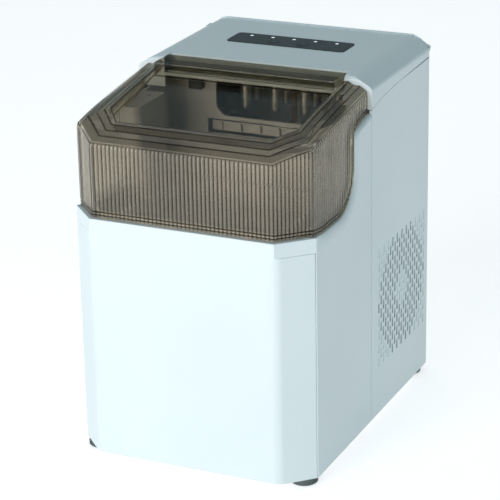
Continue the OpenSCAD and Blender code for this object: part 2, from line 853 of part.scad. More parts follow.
module compressor() {
  color("#202224") {
    translate([comp_x, comp_y, comp_z]) rotate_extrude() polygon(concat([[0, 3], [comp_r - 6, 3],
      [comp_r, 10]], [for (k = [0:8]) [comp_r - 18 + 18 * cos(k * 11.25), comp_h - 18 + 18 * sin(k * 11.25)]],
      [[0, comp_h + 3]]));
    difference() {
      box(comp_x - 34, comp_x + 34, comp_y - 34, comp_y + 34, comp_z, comp_z + 3.01);
      for (p = comp_bolts) rod_z(p[0], p[1], comp_z - 1, comp_z + 4, 4);
    }
  }
}

module compressor_feet() {
  color("#181818") for (p = comp_bolts) difference() {
    rod_z(p[0], p[1], foot_h + floor_t + 4, comp_z, 7);
    rod_z(p[0], p[1], foot_h, comp_z + 1, 1.6);
  }
}

module terminal_cover() {
  color("#181818") box(comp_x - 16, comp_x + 16, comp_y + comp_r, comp_y + comp_r + 8, comp_z + 40, comp_z + 72);
}

coil_x0 = 84;
coil_x1 = 106;
coil_z0 = 56;
coil_z1 = 166;
coil_y0 = 24;
coil_y1 = 130;
coil_rows = 8;

module condenser_fins() {
  color("silver") difference() {
    for (k = [0:fin_count - 1]) {
      y = coil_y0 + 6 + k * (coil_y1 - coil_y0 - 12) / (fin_count - 1);
      box(coil_x0 + 2, coil_x1 - 2, y - 0.3, y + 0.3, coil_z0, coil_z1);
    }
    for (k = [0:coil_rows - 1], x = [coil_x0 + 7, coil_x1 - 7])
      rod_y(x, coil_y0, coil_y1, coil_z0 + 6 + k * 14, 3);
  }
}

module condenser_coil() {
  color("peru") for (k = [0:coil_rows - 1], x = [coil_x0 + 7, coil_x1 - 7])
    rod_y(x, coil_y0, coil_y1, coil_z0 + 6 + k * 14, 2.9);
}

module fan_shroud() {
  color("dimgray") difference() {
    box(70, coil_x0 - 0.5, 20, 131, 55, 168);
    rod_x(69, coil_x0, grille_y, grille_z, fan_r + 2.5);
    for (y = [25, 126], z = [60, 162]) rod_x(69, coil_x0, y, z, 1.6);
  }
  color("dimgray") difference() {
    union() {
      rod_x(66, 69.8, grille_y, grille_z, 20);
      box(66, 69.8, 20, 131, grille_z - 3, grille_z + 3);
      for (y = [20, 128.5]) box(66, 72, y, y + 2.5, grille_z - 3, grille_z + 3);
    }
    rod_x(60, 75, grille_y, grille_z, 3);
  }
}

module fan_motor() {
  color("dimgray") {
    rod_x(40, 65.9, grille_y, grille_z, 18);
    rod_x(65.8, 80, grille_y, grille_z, 2);
  }
}

module fan_rotor() {
  tilt = 32;
  color("black") {
    difference() {
      rod_x(71.5, 82, grille_y, grille_z, 15);
      rod_x(70, 81, grille_y, grille_z, 2 + pin_fit);
    }
    difference() {
      for (k = [0:fan_blades - 1]) translate([77, grille_y, grille_z]) rotate([k * 360 / fan_blades, 0, 0])
        translate([0, 0, 14]) rotate([0, 0, tilt]) translate([-0.8, -11, 0]) cube([1.6, 22, fan_r - 14]);
      rod_x(60, 100, grille_y, grille_z, 10);
    }
  }
}

// Drier can with a stub at each end
module filter_drier() {
  x = -78;
  y = 60;
  low = 70;
  high = 140;
  stub = 10;
  color("peru") {
    rod_z(x, y, low, high, 8);
    rod_z(x, y, low - stub, low + eps, 3);
    rod_z(x, y, high - eps, high + stub, 3);
  }
}

// Hot-gas valve: coil block, plunger tube above and copper stub below
module solenoid_valve() {
  x = -77;
  y = 94;
  low = 160;
  high = 184;
  stub = 12;
  color("dimgray") {
    box(x - 11, x + 11, y - 10, y + 10, low, high);
    rod_z(x, y, high - eps, high + stub, 5);
  }
  color("peru") rod_z(x, y, low - stub, low + eps, 3);
}

// Ball at a corner of a copper line
module elbow(x, y, z) {
  translate([x, y, z]) sphere(1.2 * line_r, $fn = 24);
}

line_r = 2.5;
line_z = 200;
warm_z = 180;

module refrigerant_lines() {
  top = comp_z + comp_h + 3;
  back_y = comp_y + 32;
  color("peru") {
    rod_z(comp_x, comp_y, top, line_z, line_r);
    elbow(comp_x, comp_y, line_z);
    rod_y(comp_x, comp_y, back_y, line_z, line_r);
    elbow(comp_x, back_y, line_z);
    rod_z(comp_x, back_y, line_z, finger_top + 12, line_r);
    rod_z(comp_x + 22, comp_y, top - 2, warm_z, line_r);
    elbow(comp_x + 22, comp_y, warm_z);
    rod_x(comp_x + 22, coil_x0 + 7, comp_y, warm_z, line_r);
    elbow(coil_x0 + 7, comp_y, warm_z);
    rod_z(coil_x0 + 7, comp_y, coil_z1 + 0.5, warm_z, line_r);
  }
}

// Upright board beside the left wall, with relays and capacitors on it
module power_board() {
  x0 = -hw + wall + 4;
  board_t = 1.6;
  z0 = 176;
  z1 = 250;
  relay_y = [48, 72, 96];
  capacitor_y = [50, 80, 112];
  face = x0 + board_t - eps;
  color("seagreen") box(x0, x0 + board_t, 40, 136, z0, z1);
  color("dimgray") for (y = relay_y) box(face, x0 + 14, y, y + 16, z1 - 24, z1 - 6);
  color("goldenrod") for (y = capacitor_y) rod_x(face, x0 + 16, y, z0 + 30, 6);
}

// Winding block with its iron core across it
module transformer() {
  x = -86;
  y = 62;
  z0 = foot_h + floor_t;
  color("goldenrod") box(x - 14, x + 14, y - 16, y + 16, z0, z0 + 26);
  color("dimgray") box(x - 10, x + 10, y - 20, y + 20, z0 + 4, z0 + 22);
}

module drain_spout() {
  color("lightgray") difference() {
    union() {
      rod_y(drain_x, 60, hd - 5, drain_z, 5);
      rod_y(drain_x, hd - pocket_d - wall - 3, hd - pocket_d - wall, drain_z, 9);
    }
    rod_y(drain_x, 59, hd - 4, drain_z, 3);
  }
}

module drain_cap() {
  color("dimgray") difference() {
    rod_y(drain_x, hd - 13, hd - 0.5, drain_z, 8);
    rod_y(drain_x, hd - 14, hd - 4.5, drain_z, 5.05);
    for (k = [0:11]) rod_y(drain_x + 8.6 * cos(k * 30), hd - 14, hd, drain_z + 8.6 * sin(k * 30), 1.2);
  }
}

module power_inlet() {
  color("black") difference() {
    box(inlet_x - 13.8, inlet_x + 13.8, hd - 22, hd, inlet_z - 10.8, inlet_z + 10.8);
    box(inlet_x - 11.5, inlet_x + 11.5, hd - 18, hd + 1, inlet_z - 8.5, inlet_z + 8.5);
  }
  color("silver") for (x = [-6, 0, 6]) box(inlet_x + x - 1, inlet_x + x + 1, hd - 18.01, hd - 4,
    inlet_z + (x == 0 ? 2 : -4), inlet_z + (x == 0 ? 6 : 0));
}

module shell_screws() {
  color("silver") for (p = screw_xz) rod_y(p[0], hd - screw_l, hd - 0.6, p[1], screw_r);
}

front_panel();
side_frame();
rear_shell();
top_cover();
base_plate();
rubber_feet();
control_panel();
led_lenses();
power_button();
select_button();
display_board();
lid();
inner_liner();
insulation();
bulkhead();
drive_housing();
ice_basket();
ice_scoop();
evaporator_block();
evaporator_fingers();
water_tray();
tray_shaft();
tray_bracket();
tray_motor();
ice_pusher();
ice_sensors();
float_switch();
float_ring();
water_pump();
pump_hose();
compressor();
compressor_feet();
terminal_cover();
condenser_fins();
condenser_coil();
fan_shroud();
fan_motor();
fan_rotor();
filter_drier();
solenoid_valve();
refrigerant_lines();
power_board();
transformer();
drain_spout();
drain_cap();
power_inlet();
shell_screws();
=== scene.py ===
import bpy
import json
import math
from mathutils import Matrix, Vector

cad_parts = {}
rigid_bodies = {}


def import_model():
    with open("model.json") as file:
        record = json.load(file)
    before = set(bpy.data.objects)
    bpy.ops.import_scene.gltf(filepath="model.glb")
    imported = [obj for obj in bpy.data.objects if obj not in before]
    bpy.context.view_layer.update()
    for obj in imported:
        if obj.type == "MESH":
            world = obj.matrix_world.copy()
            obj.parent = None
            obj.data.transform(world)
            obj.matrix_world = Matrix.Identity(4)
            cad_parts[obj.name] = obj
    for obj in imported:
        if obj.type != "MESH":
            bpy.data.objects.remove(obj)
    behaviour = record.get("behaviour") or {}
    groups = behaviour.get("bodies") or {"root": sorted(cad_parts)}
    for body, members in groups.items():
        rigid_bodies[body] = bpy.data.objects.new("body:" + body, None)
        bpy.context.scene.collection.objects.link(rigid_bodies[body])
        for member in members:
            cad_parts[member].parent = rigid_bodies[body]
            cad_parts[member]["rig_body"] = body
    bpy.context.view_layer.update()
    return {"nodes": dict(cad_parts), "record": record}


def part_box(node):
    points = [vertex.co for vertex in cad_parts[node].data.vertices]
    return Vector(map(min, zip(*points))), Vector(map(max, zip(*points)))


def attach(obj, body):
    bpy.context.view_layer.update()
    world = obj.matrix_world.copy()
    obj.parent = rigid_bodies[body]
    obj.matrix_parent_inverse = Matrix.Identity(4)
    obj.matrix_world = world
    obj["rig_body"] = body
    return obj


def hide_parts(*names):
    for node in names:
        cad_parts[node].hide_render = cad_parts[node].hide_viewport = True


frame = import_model()
mm = 0.001  # sizes below are in millimetres, and places are in the frame's own axes


def millimetres(node):
    low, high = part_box(node)
    return [v / mm for v in low], [v / mm for v in high]


# The case's driving sizes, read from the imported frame
case = {
    "halfWidth": millimetres("side_frame")[1][0],
    "halfDepth": millimetres("rear_shell")[1][1],
    "deck": millimetres("top_cover")[1][2],
    "foot": millimetres("front_panel")[0][2],
    "collarTop": 224.5,
    "collarBottom": 211.5,
    "chamfer": 26.6,
    "wall": 2.4,
}
sideY = -(case["halfDepth"] - case["chamfer"])

# Camera and light come first

cameraSetup = {
    "aim": (-23.28, 38.44, 139.0),
    "distance": 1984.75,
    "azimuth": 24.86,
    "elevation": 20.56,
    "roll": -1.11,
    "lens": 154.9,
    "sensor": 36,
    "clip": (0.05, 60),
}


def addCamera():
    azimuth = math.radians(cameraSetup["azimuth"])
    elevation = math.radians(cameraSetup["elevation"])
    roll = math.radians(cameraSetup["roll"])
    back = Vector((math.sin(azimuth) * math.cos(elevation), -math.cos(azimuth) * math.cos(elevation),
                   math.sin(elevation)))
    right = Vector((math.cos(azimuth), math.sin(azimuth), 0))
    up = back.cross(right)
    rightRolled = right * math.cos(roll) + up * math.sin(roll)
    upRolled = up * math.cos(roll) - right * math.sin(roll)
    bpy.ops.object.camera_add()
    camera = bpy.context.object
    camera.name = "studioCamera"
    camera.data.lens = cameraSetup["lens"]
    camera.data.sensor_width = cameraSetup["sensor"]
    camera.data.clip_start, camera.data.clip_end = cameraSetup["clip"]
    place = Vector([v * mm for v in cameraSetup["aim"]]) + back * cameraSetup["distance"] * mm
    turn = Matrix((rightRolled, upRolled, back)).transposed()
    camera.matrix_world = Matrix.Translation(place) @ turn.to_4x4()
    bpy.context.scene.camera = camera


lights = [
    {"name": "frontKey", "place": (-0.55, -2.5, 0.75), "aim": (0, -0.1, 0.2), "size": 1.5, "power": 42,
     "colour": (1.0, 0.955, 0.955)},
    {"name": "topSoft", "place": (-0.3, 0.9, 2.3), "aim": (0, 0, 0.2), "size": 1.6, "power": 8,
     "colour": (1.0, 0.98, 0.90)},
]
studio = {"sky": (0.71, 0.92, 1.0, 1), "skyStrength": 0.34, "floorSize": 30, "floorGlow": 0.6}


def addLights():
    for light in lights:
        bpy.ops.object.light_add(type="AREA", location=light["place"])
        lamp = bpy.context.object
        lamp.name = light["name"]
        lamp.data.size = light["size"]
        lamp.data.energy = light["power"]
        lamp.data.color = light["colour"]
        toAim = Vector(light["aim"]) - Vector(light["place"])
        lamp.rotation_euler = toAim.to_track_quat("-Z", "Y").to_euler()
    world = bpy.data.worlds.new("paleStudio")
    world.use_nodes = True
    background = world.node_tree.nodes["Background"]
    background.inputs["Color"].default_value = studio["sky"]
    background.inputs["Strength"].default_value = studio["skyStrength"]
    bpy.context.scene.world = world
    bpy.context.scene.view_settings.view_transform = "Standard"


addCamera()
addLights()
print("camera and lights are in place")


# Working helpers


def deselectAll():
    if bpy.context.object and bpy.context.object.mode != "OBJECT":
        bpy.ops.object.mode_set(mode="OBJECT")
    bpy.ops.object.select_all(action="DESELECT")


def makeActive(obj):
    deselectAll()
    obj.select_set(True)
    bpy.context.view_layer.objects.active = obj


def applyModifier(obj, kind, **settings):
    makeActive(obj)
    modifier = obj.modifiers.new("work", kind)
    for key, value in settings.items():
        setattr(modifier, key, value)
    bpy.ops.object.modifier_apply(modifier="work")


def block(x0, x1, y0, y1, z0, z1):
    deselectAll()
    middle = ((x0 + x1) / 2 * mm, (y0 + y1) / 2 * mm, (z0 + z1) / 2 * mm)
    bpy.ops.mesh.primitive_cube_add(size=1, location=middle)
    obj = bpy.context.object
    obj.scale = ((x1 - x0) * mm, (y1 - y0) * mm, (z1 - z0) * mm)
    bpy.ops.object.transform_apply(location=True, rotation=True, scale=True)
    return obj


weldDistance = {"grid": 0.000002, "node": 0.00001}  # metres
turns = {"X": (0, math.pi / 2, 0), "Y": (math.pi / 2, 0, 0), "Z": (0, 0, 0)}


def rod(axis, centre, radius, length, sides=32):
    deselectAll()
    bpy.ops.mesh.primitive_cylinder_add(vertices=sides, radius=radius * mm, depth=length * mm,
                                        location=[c * mm for c in centre], rotation=turns[axis])
    bpy.ops.object.transform_apply(location=True, rotation=True, scale=True)
    return bpy.context.object


def pick(obj, kind, test):
    # Selects the edges or faces whose middle (and normal) pass the test, and leaves edit mode on
    makeActive(obj)
    bpy.ops.object.mode_set(mode="EDIT")
    bpy.ops.mesh.select_mode(type=kind)
    bpy.ops.mesh.select_all(action="DESELECT")
    bpy.ops.object.mode_set(mode="OBJECT")
    mesh = obj.data
    if kind == "FACE":
        for face in mesh.polygons:
            face.select = bool(test(face.center / mm, face.normal))
    else:
        for edge in mesh.edges:
            a, b = (mesh.vertices[i].co / mm for i in edge.vertices)
            edge.select = bool(test(a, b))
    bpy.ops.object.mode_set(mode="EDIT")


def bevelEdges(obj, width, segments, test):
    pick(obj, "EDGE", test)
    bpy.ops.mesh.bevel(offset=width * mm, segments=segments, affect="EDGES")
    bpy.ops.object.mode_set(mode="OBJECT")


def deleteFaces(obj, test):
    pick(obj, "FACE", test)
    bpy.ops.mesh.delete(type="FACE")
    bpy.ops.object.mode_set(mode="OBJECT")


def softenEdges(obj, width, segments=2, angle=30):
    applyModifier(obj, "BEVEL", width=width * mm, segments=segments, limit_method="ANGLE",
                  angle_limit=math.radians(angle), use_clamp_overlap=True)


def cutWith(obj, cutters):
    for cutter in cutters:
        applyModifier(obj, "BOOLEAN", operation="DIFFERENCE", object=cutter, solver="EXACT")
        bpy.data.objects.remove(cutter)


def joinAll(objects):
    deselectAll()
    for obj in objects:
        obj.select_set(True)
    bpy.context.view_layer.objects.active = objects[0]
    if len(objects) > 1:
        bpy.ops.object.join()
    return objects[0]


def ring(axis, centre, radius, thickness, sides=40):
    deselectAll()
    bpy.ops.mesh.primitive_torus_add(major_radius=radius * mm, minor_radius=thickness * mm,
                                     major_segments=sides, minor_segments=8,
                                     location=[c * mm for c in centre], rotation=turns[axis])
    bpy.ops.object.transform_apply(location=True, rotation=True, scale=True)
    return bpy.context.object


def copyOf(obj, dx=0, dy=0, dz=0):
    twin = obj.copy()
    twin.data = obj.data.copy()
    bpy.context.scene.collection.objects.link(twin)
    twin.data.transform(Matrix.Translation((dx * mm, dy * mm, dz * mm)))
    return twin


def wrapGrid(columns, rows, shape, tone=None):
    # A flat grid wrapped into a closed tube: column i and row j of it go to the point shape(i, j).
    # tone(i, j) is kept on the mesh as the attribute "tone", for the material.
    deselectAll()
    bpy.ops.mesh.primitive_grid_add(x_subdivisions=columns, y_subdivisions=rows, size=1)
    obj = bpy.context.object
    values = [0.0] * len(obj.data.vertices)
    for vertex in obj.data.vertices:
        i = round((vertex.co.x + 0.5) * columns)
        j = round((vertex.co.y + 0.5) * rows)
        if tone:
            values[vertex.index] = tone(i, j)
        vertex.co = [c * mm for c in shape(i, j)]
    if tone:
        obj.data.attributes.new("tone", "FLOAT", "POINT").data.foreach_set("value", values)
    bpy.ops.object.mode_set(mode="EDIT")
    bpy.ops.mesh.select_all(action="SELECT")
    bpy.ops.mesh.remove_doubles(threshold=weldDistance["grid"])
    bpy.ops.mesh.dissolve_degenerate(threshold=weldDistance["grid"])
    bpy.ops.mesh.select_mode(type="EDGE")
    bpy.ops.mesh.select_all(action="DESELECT")
    bpy.ops.mesh.select_non_manifold(extend=False, use_wire=False, use_boundary=True,
                                     use_multi_face=False, use_non_contiguous=False, use_verts=False)
    bpy.ops.mesh.edge_face_add()
    bpy.ops.mesh.select_all(action="SELECT")
    bpy.ops.mesh.normals_make_consistent(inside=False)
    bpy.ops.object.mode_set(mode="OBJECT")
    return obj


def finishPiece(obj, name, body, slotName, material, replaces=(), smooth=32):
    obj.name = name
    obj.data.name = name
    obj.data.materials.clear()
    obj.data.materials.append(material)
    makeActive(obj)
    bpy.ops.object.shade_smooth_by_angle(angle=math.radians(smooth))
    applyModifier(obj, "WEIGHTED_NORMAL", keep_sharp=True)
    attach(obj, body)
    if replaces:
        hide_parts(*replaces)
    return obj


def mergedCopy(node):
    # A node's mesh is loose triangles: a copy of it is welded, and its flat faces made whole
    source = frame["nodes"][node]
    obj = source.copy()
    obj.data = source.data.copy()
    for key in list(obj.keys()):
        if key.startswith("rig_"):
            del obj[key]
    obj.parent = None
    bpy.context.scene.collection.objects.link(obj)
    obj.hide_render = False
    makeActive(obj)
    bpy.ops.object.mode_set(mode="EDIT")
    bpy.ops.mesh.select_all(action="SELECT")
    bpy.ops.mesh.customdata_custom_splitnormals_clear()
    bpy.ops.mesh.remove_doubles(threshold=weldDistance["node"])
    bpy.ops.mesh.dissolve_limited(angle_limit=math.radians(1))
    bpy.ops.object.mode_set(mode="OBJECT")
    return obj


def camelName(node):
    words = node.split("_")
    return words[0] + "".join(word.capitalize() for word in words[1:])


def softCopy(node, width, cutters=(), segments=2):
    # A merged copy of a node, cut and with its edges rounded, which stands for the node
    obj = mergedCopy(node)
    cutWith(obj, cutters)
    softenEdges(obj, width, segments)
    return finishPiece(obj, camelName(node), frame["nodes"][node]["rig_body"], slotOf[node],
                       materials[slotOf[node]], (node,))


# Shared effects


def newGroup(name, inputs, outputs):
    tree = bpy.data.node_groups.new(name, "ShaderNodeTree")
    for label, kind, value in inputs:
        socket = tree.interface.new_socket(label, in_out="INPUT", socket_type=kind)
        if value is not None:
            socket.default_value = value
    for label, kind in outputs:
        tree.interface.new_socket(label, in_out="OUTPUT", socket_type=kind)
    return tree, tree.nodes.new("NodeGroupInput"), tree.nodes.new("NodeGroupOutput")


def addMath(tree, operation, first, second):
    node = tree.nodes.new("ShaderNodeMath")
    node.operation = operation
    for socket, value in zip(node.inputs, (first, second)):
        if isinstance(value, (int, float)):
            socket.default_value = value
        else:
            tree.links.new(value, socket)
    return node.outputs[0]


def addRamp(tree, value, low, high):
    node = tree.nodes.new("ShaderNodeMapRange")
    node.inputs["From Min"].default_value = low
    node.inputs["From Max"].default_value = high
    tree.links.new(value, node.inputs["Value"])
    return node.outputs[0]


def addNoise(tree, vector, scale, detail=4.0, roughness=0.55):
    node = tree.nodes.new("ShaderNodeTexNoise")
    node.inputs["Detail"].default_value = detail
    node.inputs["Roughness"].default_value = roughness
    tree.links.new(vector, node.inputs["Vector"])
    if isinstance(scale, (int, float)):
        node.inputs["Scale"].default_value = scale
    else:
        tree.links.new(scale, node.inputs["Scale"])
    return node.outputs["Fac"]


def makeGrainGroup():
    # Fine moulding grain over a slow waviness, as a normal
    tree, inputs, outputs = newGroup("mouldGrain", [
        ("Vector", "NodeSocketVector", None), ("Scale", "NodeSocketFloat", 900.0),
        ("Height", "NodeSocketFloat", 0.1)], [("Normal", "NodeSocketVector")])
    grain = addNoise(tree, inputs.outputs["Vector"], inputs.outputs["Scale"], 3.0)
    waviness = addNoise(tree, inputs.outputs["Vector"], 18.0, 1.0)
    fine, slow = addMath(tree, "MULTIPLY", grain, 0.6), addMath(tree, "MULTIPLY", waviness, 0.4)
    both = addMath(tree, "ADD", fine, slow)
    bump = tree.nodes.new("ShaderNodeBump")
    bump.inputs["Distance"].default_value = 0.0004
    tree.links.new(inputs.outputs["Height"], bump.inputs["Strength"])
    tree.links.new(both, bump.inputs["Height"])
    tree.links.new(bump.outputs["Normal"], outputs.inputs["Normal"])
    return tree


def makeToneGroup():
    # Slow drift between two close tones
    tree, inputs, outputs = newGroup("toneDrift", [
        ("Vector", "NodeSocketVector", None), ("Light", "NodeSocketColor", (1, 1, 1, 1)),
        ("Dark", "NodeSocketColor", (0.9, 0.9, 0.9, 1)), ("Scale", "NodeSocketFloat", 6.0)],
        [("Color", "NodeSocketColor")])
    drift = addRamp(tree, addNoise(tree, inputs.outputs["Vector"], inputs.outputs["Scale"], 5.0), 0.35, 0.65)
    mix = tree.nodes.new("ShaderNodeMix")
    mix.data_type = "RGBA"
    tree.links.new(drift, mix.inputs["Factor"])
    tree.links.new(inputs.outputs["Light"], mix.inputs["A"])
    tree.links.new(inputs.outputs["Dark"], mix.inputs["B"])
    tree.links.new(mix.outputs["Result"], outputs.inputs["Color"])
    return tree


def makeSmudgeGroup():
    # Faint finger smudges and wiped streaks: a mask for the roughness
    tree, inputs, outputs = newGroup("handSmudge", [
        ("Vector", "NodeSocketVector", None), ("Base", "NodeSocketFloat", 0.3),
        ("Spread", "NodeSocketFloat", 0.1)], [("Roughness", "NodeSocketFloat")])
    patch = addRamp(tree, addNoise(tree, inputs.outputs["Vector"], 14.0, 6.0, 0.65), 0.4, 0.75)
    streak = addNoise(tree, inputs.outputs["Vector"], 60.0, 2.0)
    wiped = addMath(tree, "MULTIPLY", patch, streak)
    extra = addMath(tree, "MULTIPLY", wiped, inputs.outputs["Spread"])
    value = addMath(tree, "ADD", inputs.outputs["Base"], extra)
    tree.links.new(value, outputs.inputs["Roughness"])
    return tree


def makeDustGroup():
    # Dust that settles on faces that look up
    tree, inputs, outputs = newGroup("settledDust", [
        ("Vector", "NodeSocketVector", None), ("Color", "NodeSocketColor", (1, 1, 1, 1)),
        ("Dust", "NodeSocketColor", (0.62, 0.61, 0.58, 1)), ("Amount", "NodeSocketFloat", 0.1)],
        [("Color", "NodeSocketColor")])
    geometry = tree.nodes.new("ShaderNodeNewGeometry")
    split = tree.nodes.new("ShaderNodeSeparateXYZ")
    tree.links.new(geometry.outputs["Normal"], split.inputs[0])
    upward = addRamp(tree, split.outputs["Z"], 0.4, 1.0)
    speck = addRamp(tree, addNoise(tree, inputs.outputs["Vector"], 220.0, 6.0, 0.7), 0.45, 0.7)
    share = addMath(tree, "MULTIPLY", addMath(tree, "MULTIPLY", upward, speck), inputs.outputs["Amount"])
    mix = tree.nodes.new("ShaderNodeMix")
    mix.data_type = "RGBA"
    tree.links.new(share, mix.inputs["Factor"])
    tree.links.new(inputs.outputs["Color"], mix.inputs["A"])
    tree.links.new(inputs.outputs["Dust"], mix.inputs["B"])
    tree.links.new(mix.outputs["Result"], outputs.inputs["Color"])
    return tree


grainGroup = makeGrainGroup()
toneGroup = makeToneGroup()
smudgeGroup = makeSmudgeGroup()
dustGroup = makeDustGroup()


def placeGroup(tree, group, vector, **values):
    node = tree.nodes.new("ShaderNodeGroup")
    node.node_tree = group
    tree.links.new(vector, node.inputs["Vector"])
    for key, value in values.items():
        node.inputs[key].default_value = value
    return node


def makeMaterial(name, light, dark, roughness, spread, grain, height, dust, **sockets):
    # The two tones it drifts between, its roughness and how much a smudge adds to that, the scale and height
    # of its grain, and its dust; further values go to the shader's sockets of those names
    material = bpy.data.materials.new(name)
    material.use_nodes = True
    tree = material.node_tree
    shader = tree.nodes["Principled BSDF"]
    coordinates = tree.nodes.new("ShaderNodeTexCoord").outputs["Object"]
    tone = placeGroup(tree, toneGroup, coordinates, Light=(*light, 1), Dark=(*dark, 1))
    dusty = placeGroup(tree, dustGroup, coordinates, Amount=dust)
    smudge = placeGroup(tree, smudgeGroup, coordinates, Base=roughness, Spread=spread)
    bumps = placeGroup(tree, grainGroup, coordinates, Scale=grain, Height=height)
    tree.links.new(tone.outputs["Color"], dusty.inputs["Color"])
    tree.links.new(dusty.outputs["Color"], shader.inputs["Base Color"])
    tree.links.new(smudge.outputs["Roughness"], shader.inputs["Roughness"])
    tree.links.new(bumps.outputs["Normal"], shader.inputs["Normal"])
    for key, value in sockets.items():
        shader.inputs[key.replace("_", " ")].default_value = value
    return material


materials = {
    "white_shell": makeMaterial("satinWhiteCase", (0.69, 0.78, 0.80), (0.665, 0.755, 0.78), 0.38, 0.14, 1100,
                                0.06, 0.04, Specular_IOR_Level=0.4),
    "base_grey": makeMaterial("mattGreyBase", (0.60, 0.63, 0.64), (0.54, 0.57, 0.58), 0.55, 0.15, 700,
                              0.2, 0.2),
    "foot_rubber": makeMaterial("footRubber", (0.10, 0.125, 0.125), (0.07, 0.09, 0.09), 0.72, 0.15, 500,
                                0.35, 0.3),
    "panel_black": makeMaterial("glossBlackPanel", (0.020, 0.030, 0.034), (0.014, 0.022, 0.026), 0.3, 0.2,
                                1500, 0.02, 0.05, Specular_IOR_Level=0.22),
    "led_white": makeMaterial("litWindow", (0.85, 0.92, 0.95), (0.8, 0.88, 0.92), 0.3, 0.1, 900, 0.05, 0.0,
                              Emission_Color=(0.85, 0.95, 1.0, 1), Emission_Strength=0.6),
    "circuit_board": makeMaterial("circuitBoard", (0.03, 0.17, 0.09), (0.02, 0.12, 0.06), 0.4, 0.2, 400,
                                  0.2, 0.2),
    "liner_grey": makeMaterial("satinLiner", (0.55, 0.55, 0.52), (0.49, 0.49, 0.46), 0.4, 0.16, 800,
                               0.12, 0.02),
    "foam": makeMaterial("foam", (0.80, 0.74, 0.55), (0.70, 0.63, 0.44), 0.85, 0.1, 260, 0.9, 0.1),
    "nickel": makeMaterial("satinNickel", (0.60, 0.59, 0.56), (0.50, 0.49, 0.46), 0.3, 0.2, 700, 0.1, 0.0,
                           Metallic=1.0),
    "steel": makeMaterial("zincPlate", (0.62, 0.62, 0.63), (0.48, 0.49, 0.5), 0.34, 0.25, 600, 0.15, 0.05,
                          Metallic=1.0),
    "dark_plastic": makeMaterial("darkPlastic", (0.055, 0.06, 0.065), (0.035, 0.04, 0.043), 0.5, 0.2, 700,
                                 0.25, 0.2),
    "hose_rubber": makeMaterial("siliconeHose", (0.62, 0.63, 0.61), (0.54, 0.55, 0.53), 0.45, 0.2, 500,
                                0.15, 0.1),
    "black_paint": makeMaterial("blackPaint", (0.018, 0.018, 0.02), (0.012, 0.012, 0.013), 0.32, 0.25, 500,
                                0.25, 0.25, Coat_Weight=0.3, Coat_Roughness=0.2),
    "fin_aluminium": makeMaterial("finAluminium", (0.68, 0.69, 0.70), (0.57, 0.58, 0.6), 0.35, 0.2, 500,
                                  0.15, 0.15, Metallic=1.0),
    "copper": makeMaterial("drawnCopper", (0.68, 0.34, 0.20), (0.5, 0.24, 0.14), 0.36, 0.25, 500, 0.15, 0.05,
                           Metallic=1.0),
    "tray_clear": makeMaterial("clearTray", (0.90, 0.90, 0.87), (0.87, 0.87, 0.84), 0.05, 0.05, 900,
                               0.03, 0.0, Transmission_Weight=1.0, IOR=1.04, Coat_Weight=0.35,
                               Coat_Roughness=0.05),
    "smoked_clear": makeMaterial("smokedClear", (0.47, 0.45, 0.40), (0.44, 0.42, 0.37), 0.04, 0.04, 1500,
                                 0.01, 0.0, Transmission_Weight=1.0, IOR=1.05, Coat_Weight=0.45,
                                 Coat_Roughness=0.03),
}
# A darker copy of the smoked plastic for the lid's flange and pins: painted shade
smokedDark = makeMaterial("smokedDark", (0.40, 0.375, 0.31), (0.37, 0.345, 0.285), 0.05, 0.04, 1500,
                          0.01, 0.0, Transmission_Weight=1.0, IOR=1.05, Coat_Weight=0.14, Coat_Roughness=0.06)
smokedRibs = makeMaterial("smokedRibs", (0.86, 0.81, 0.69), (0.80, 0.75, 0.63), 0.06, 0.04, 1500, 0.01, 0.0,
                          Transmission_Weight=0.88, IOR=1.12, Coat_Roughness=0.05)


def paintShadeAndHighlight(material, deep, gloss):
    # Painted shade: the base colour is darkened towards deep between the ribs and along the creases, and the
    # rib tops keep it light as a painted highlight, as the mesh's tone says. Only the rib tops catch the
    # lamps, so the coat follows the same tone.
    tree = material.node_tree
    target = tree.nodes["Principled BSDF"].inputs["Base Color"]
    tone = tree.nodes.new("ShaderNodeAttribute")
    tone.attribute_name = "tone"
    mix = tree.nodes.new("ShaderNodeMix")
    mix.data_type = "RGBA"
    # deep is the colour of the painted shade
    mix.inputs["A"].default_value = (*deep, 1)
    tree.links.new(tone.outputs["Fac"], mix.inputs["Factor"])
    tree.links.new(target.links[0].from_socket, mix.inputs["B"])
    tree.links.new(mix.outputs["Result"], target)
    shine = tree.nodes.new("ShaderNodeMath")
    shine.operation = "MULTIPLY"
    shine.inputs[1].default_value = gloss
    tree.links.new(tone.outputs["Fac"], shine.inputs[0])
    tree.links.new(shine.outputs["Value"], tree.nodes["Principled BSDF"].inputs["Coat Weight"])


def letLampsThrough(material, tint):
    # Clear plastic passes lamp light straight on, a little dimmed, so that what is behind it is lit
    tree = material.node_tree
    shader = tree.nodes["Principled BSDF"]
    path = tree.nodes.new("ShaderNodeLightPath")
    clear = tree.nodes.new("ShaderNodeBsdfTransparent")
    clear.inputs["Color"].default_value = (*tint, 1)
    mix = tree.nodes.new("ShaderNodeMixShader")
    tree.links.new(path.outputs["Is Shadow Ray"], mix.inputs["Fac"])
    tree.links.new(shader.outputs["BSDF"], mix.inputs[1])
    tree.links.new(clear.outputs["BSDF"], mix.inputs[2])
    tree.links.new(mix.outputs["Shader"], tree.nodes["Material Output"].inputs["Surface"])


letLampsThrough(materials["smoked_clear"], (0.88, 0.86, 0.82))
letLampsThrough(materials["tray_clear"], (0.95, 0.95, 0.94))
letLampsThrough(smokedRibs, (0.80, 0.78, 0.74))
letLampsThrough(smokedDark, (0.6, 0.59, 0.56))
# Painted shade in the lid's rib valleys and creases, and painted highlight on its rib tops
paintShadeAndHighlight(smokedRibs, (0.022, 0.021, 0.018), 0.75)
slotOf = {part["node"]: part["material_slot"] for part in frame["record"]["subparts"]}
for node, obj in frame["nodes"].items():
    obj.data.materials.clear()
    obj.data.materials.append(materials[slotOf[node]])
print("materials are made")


# Floor

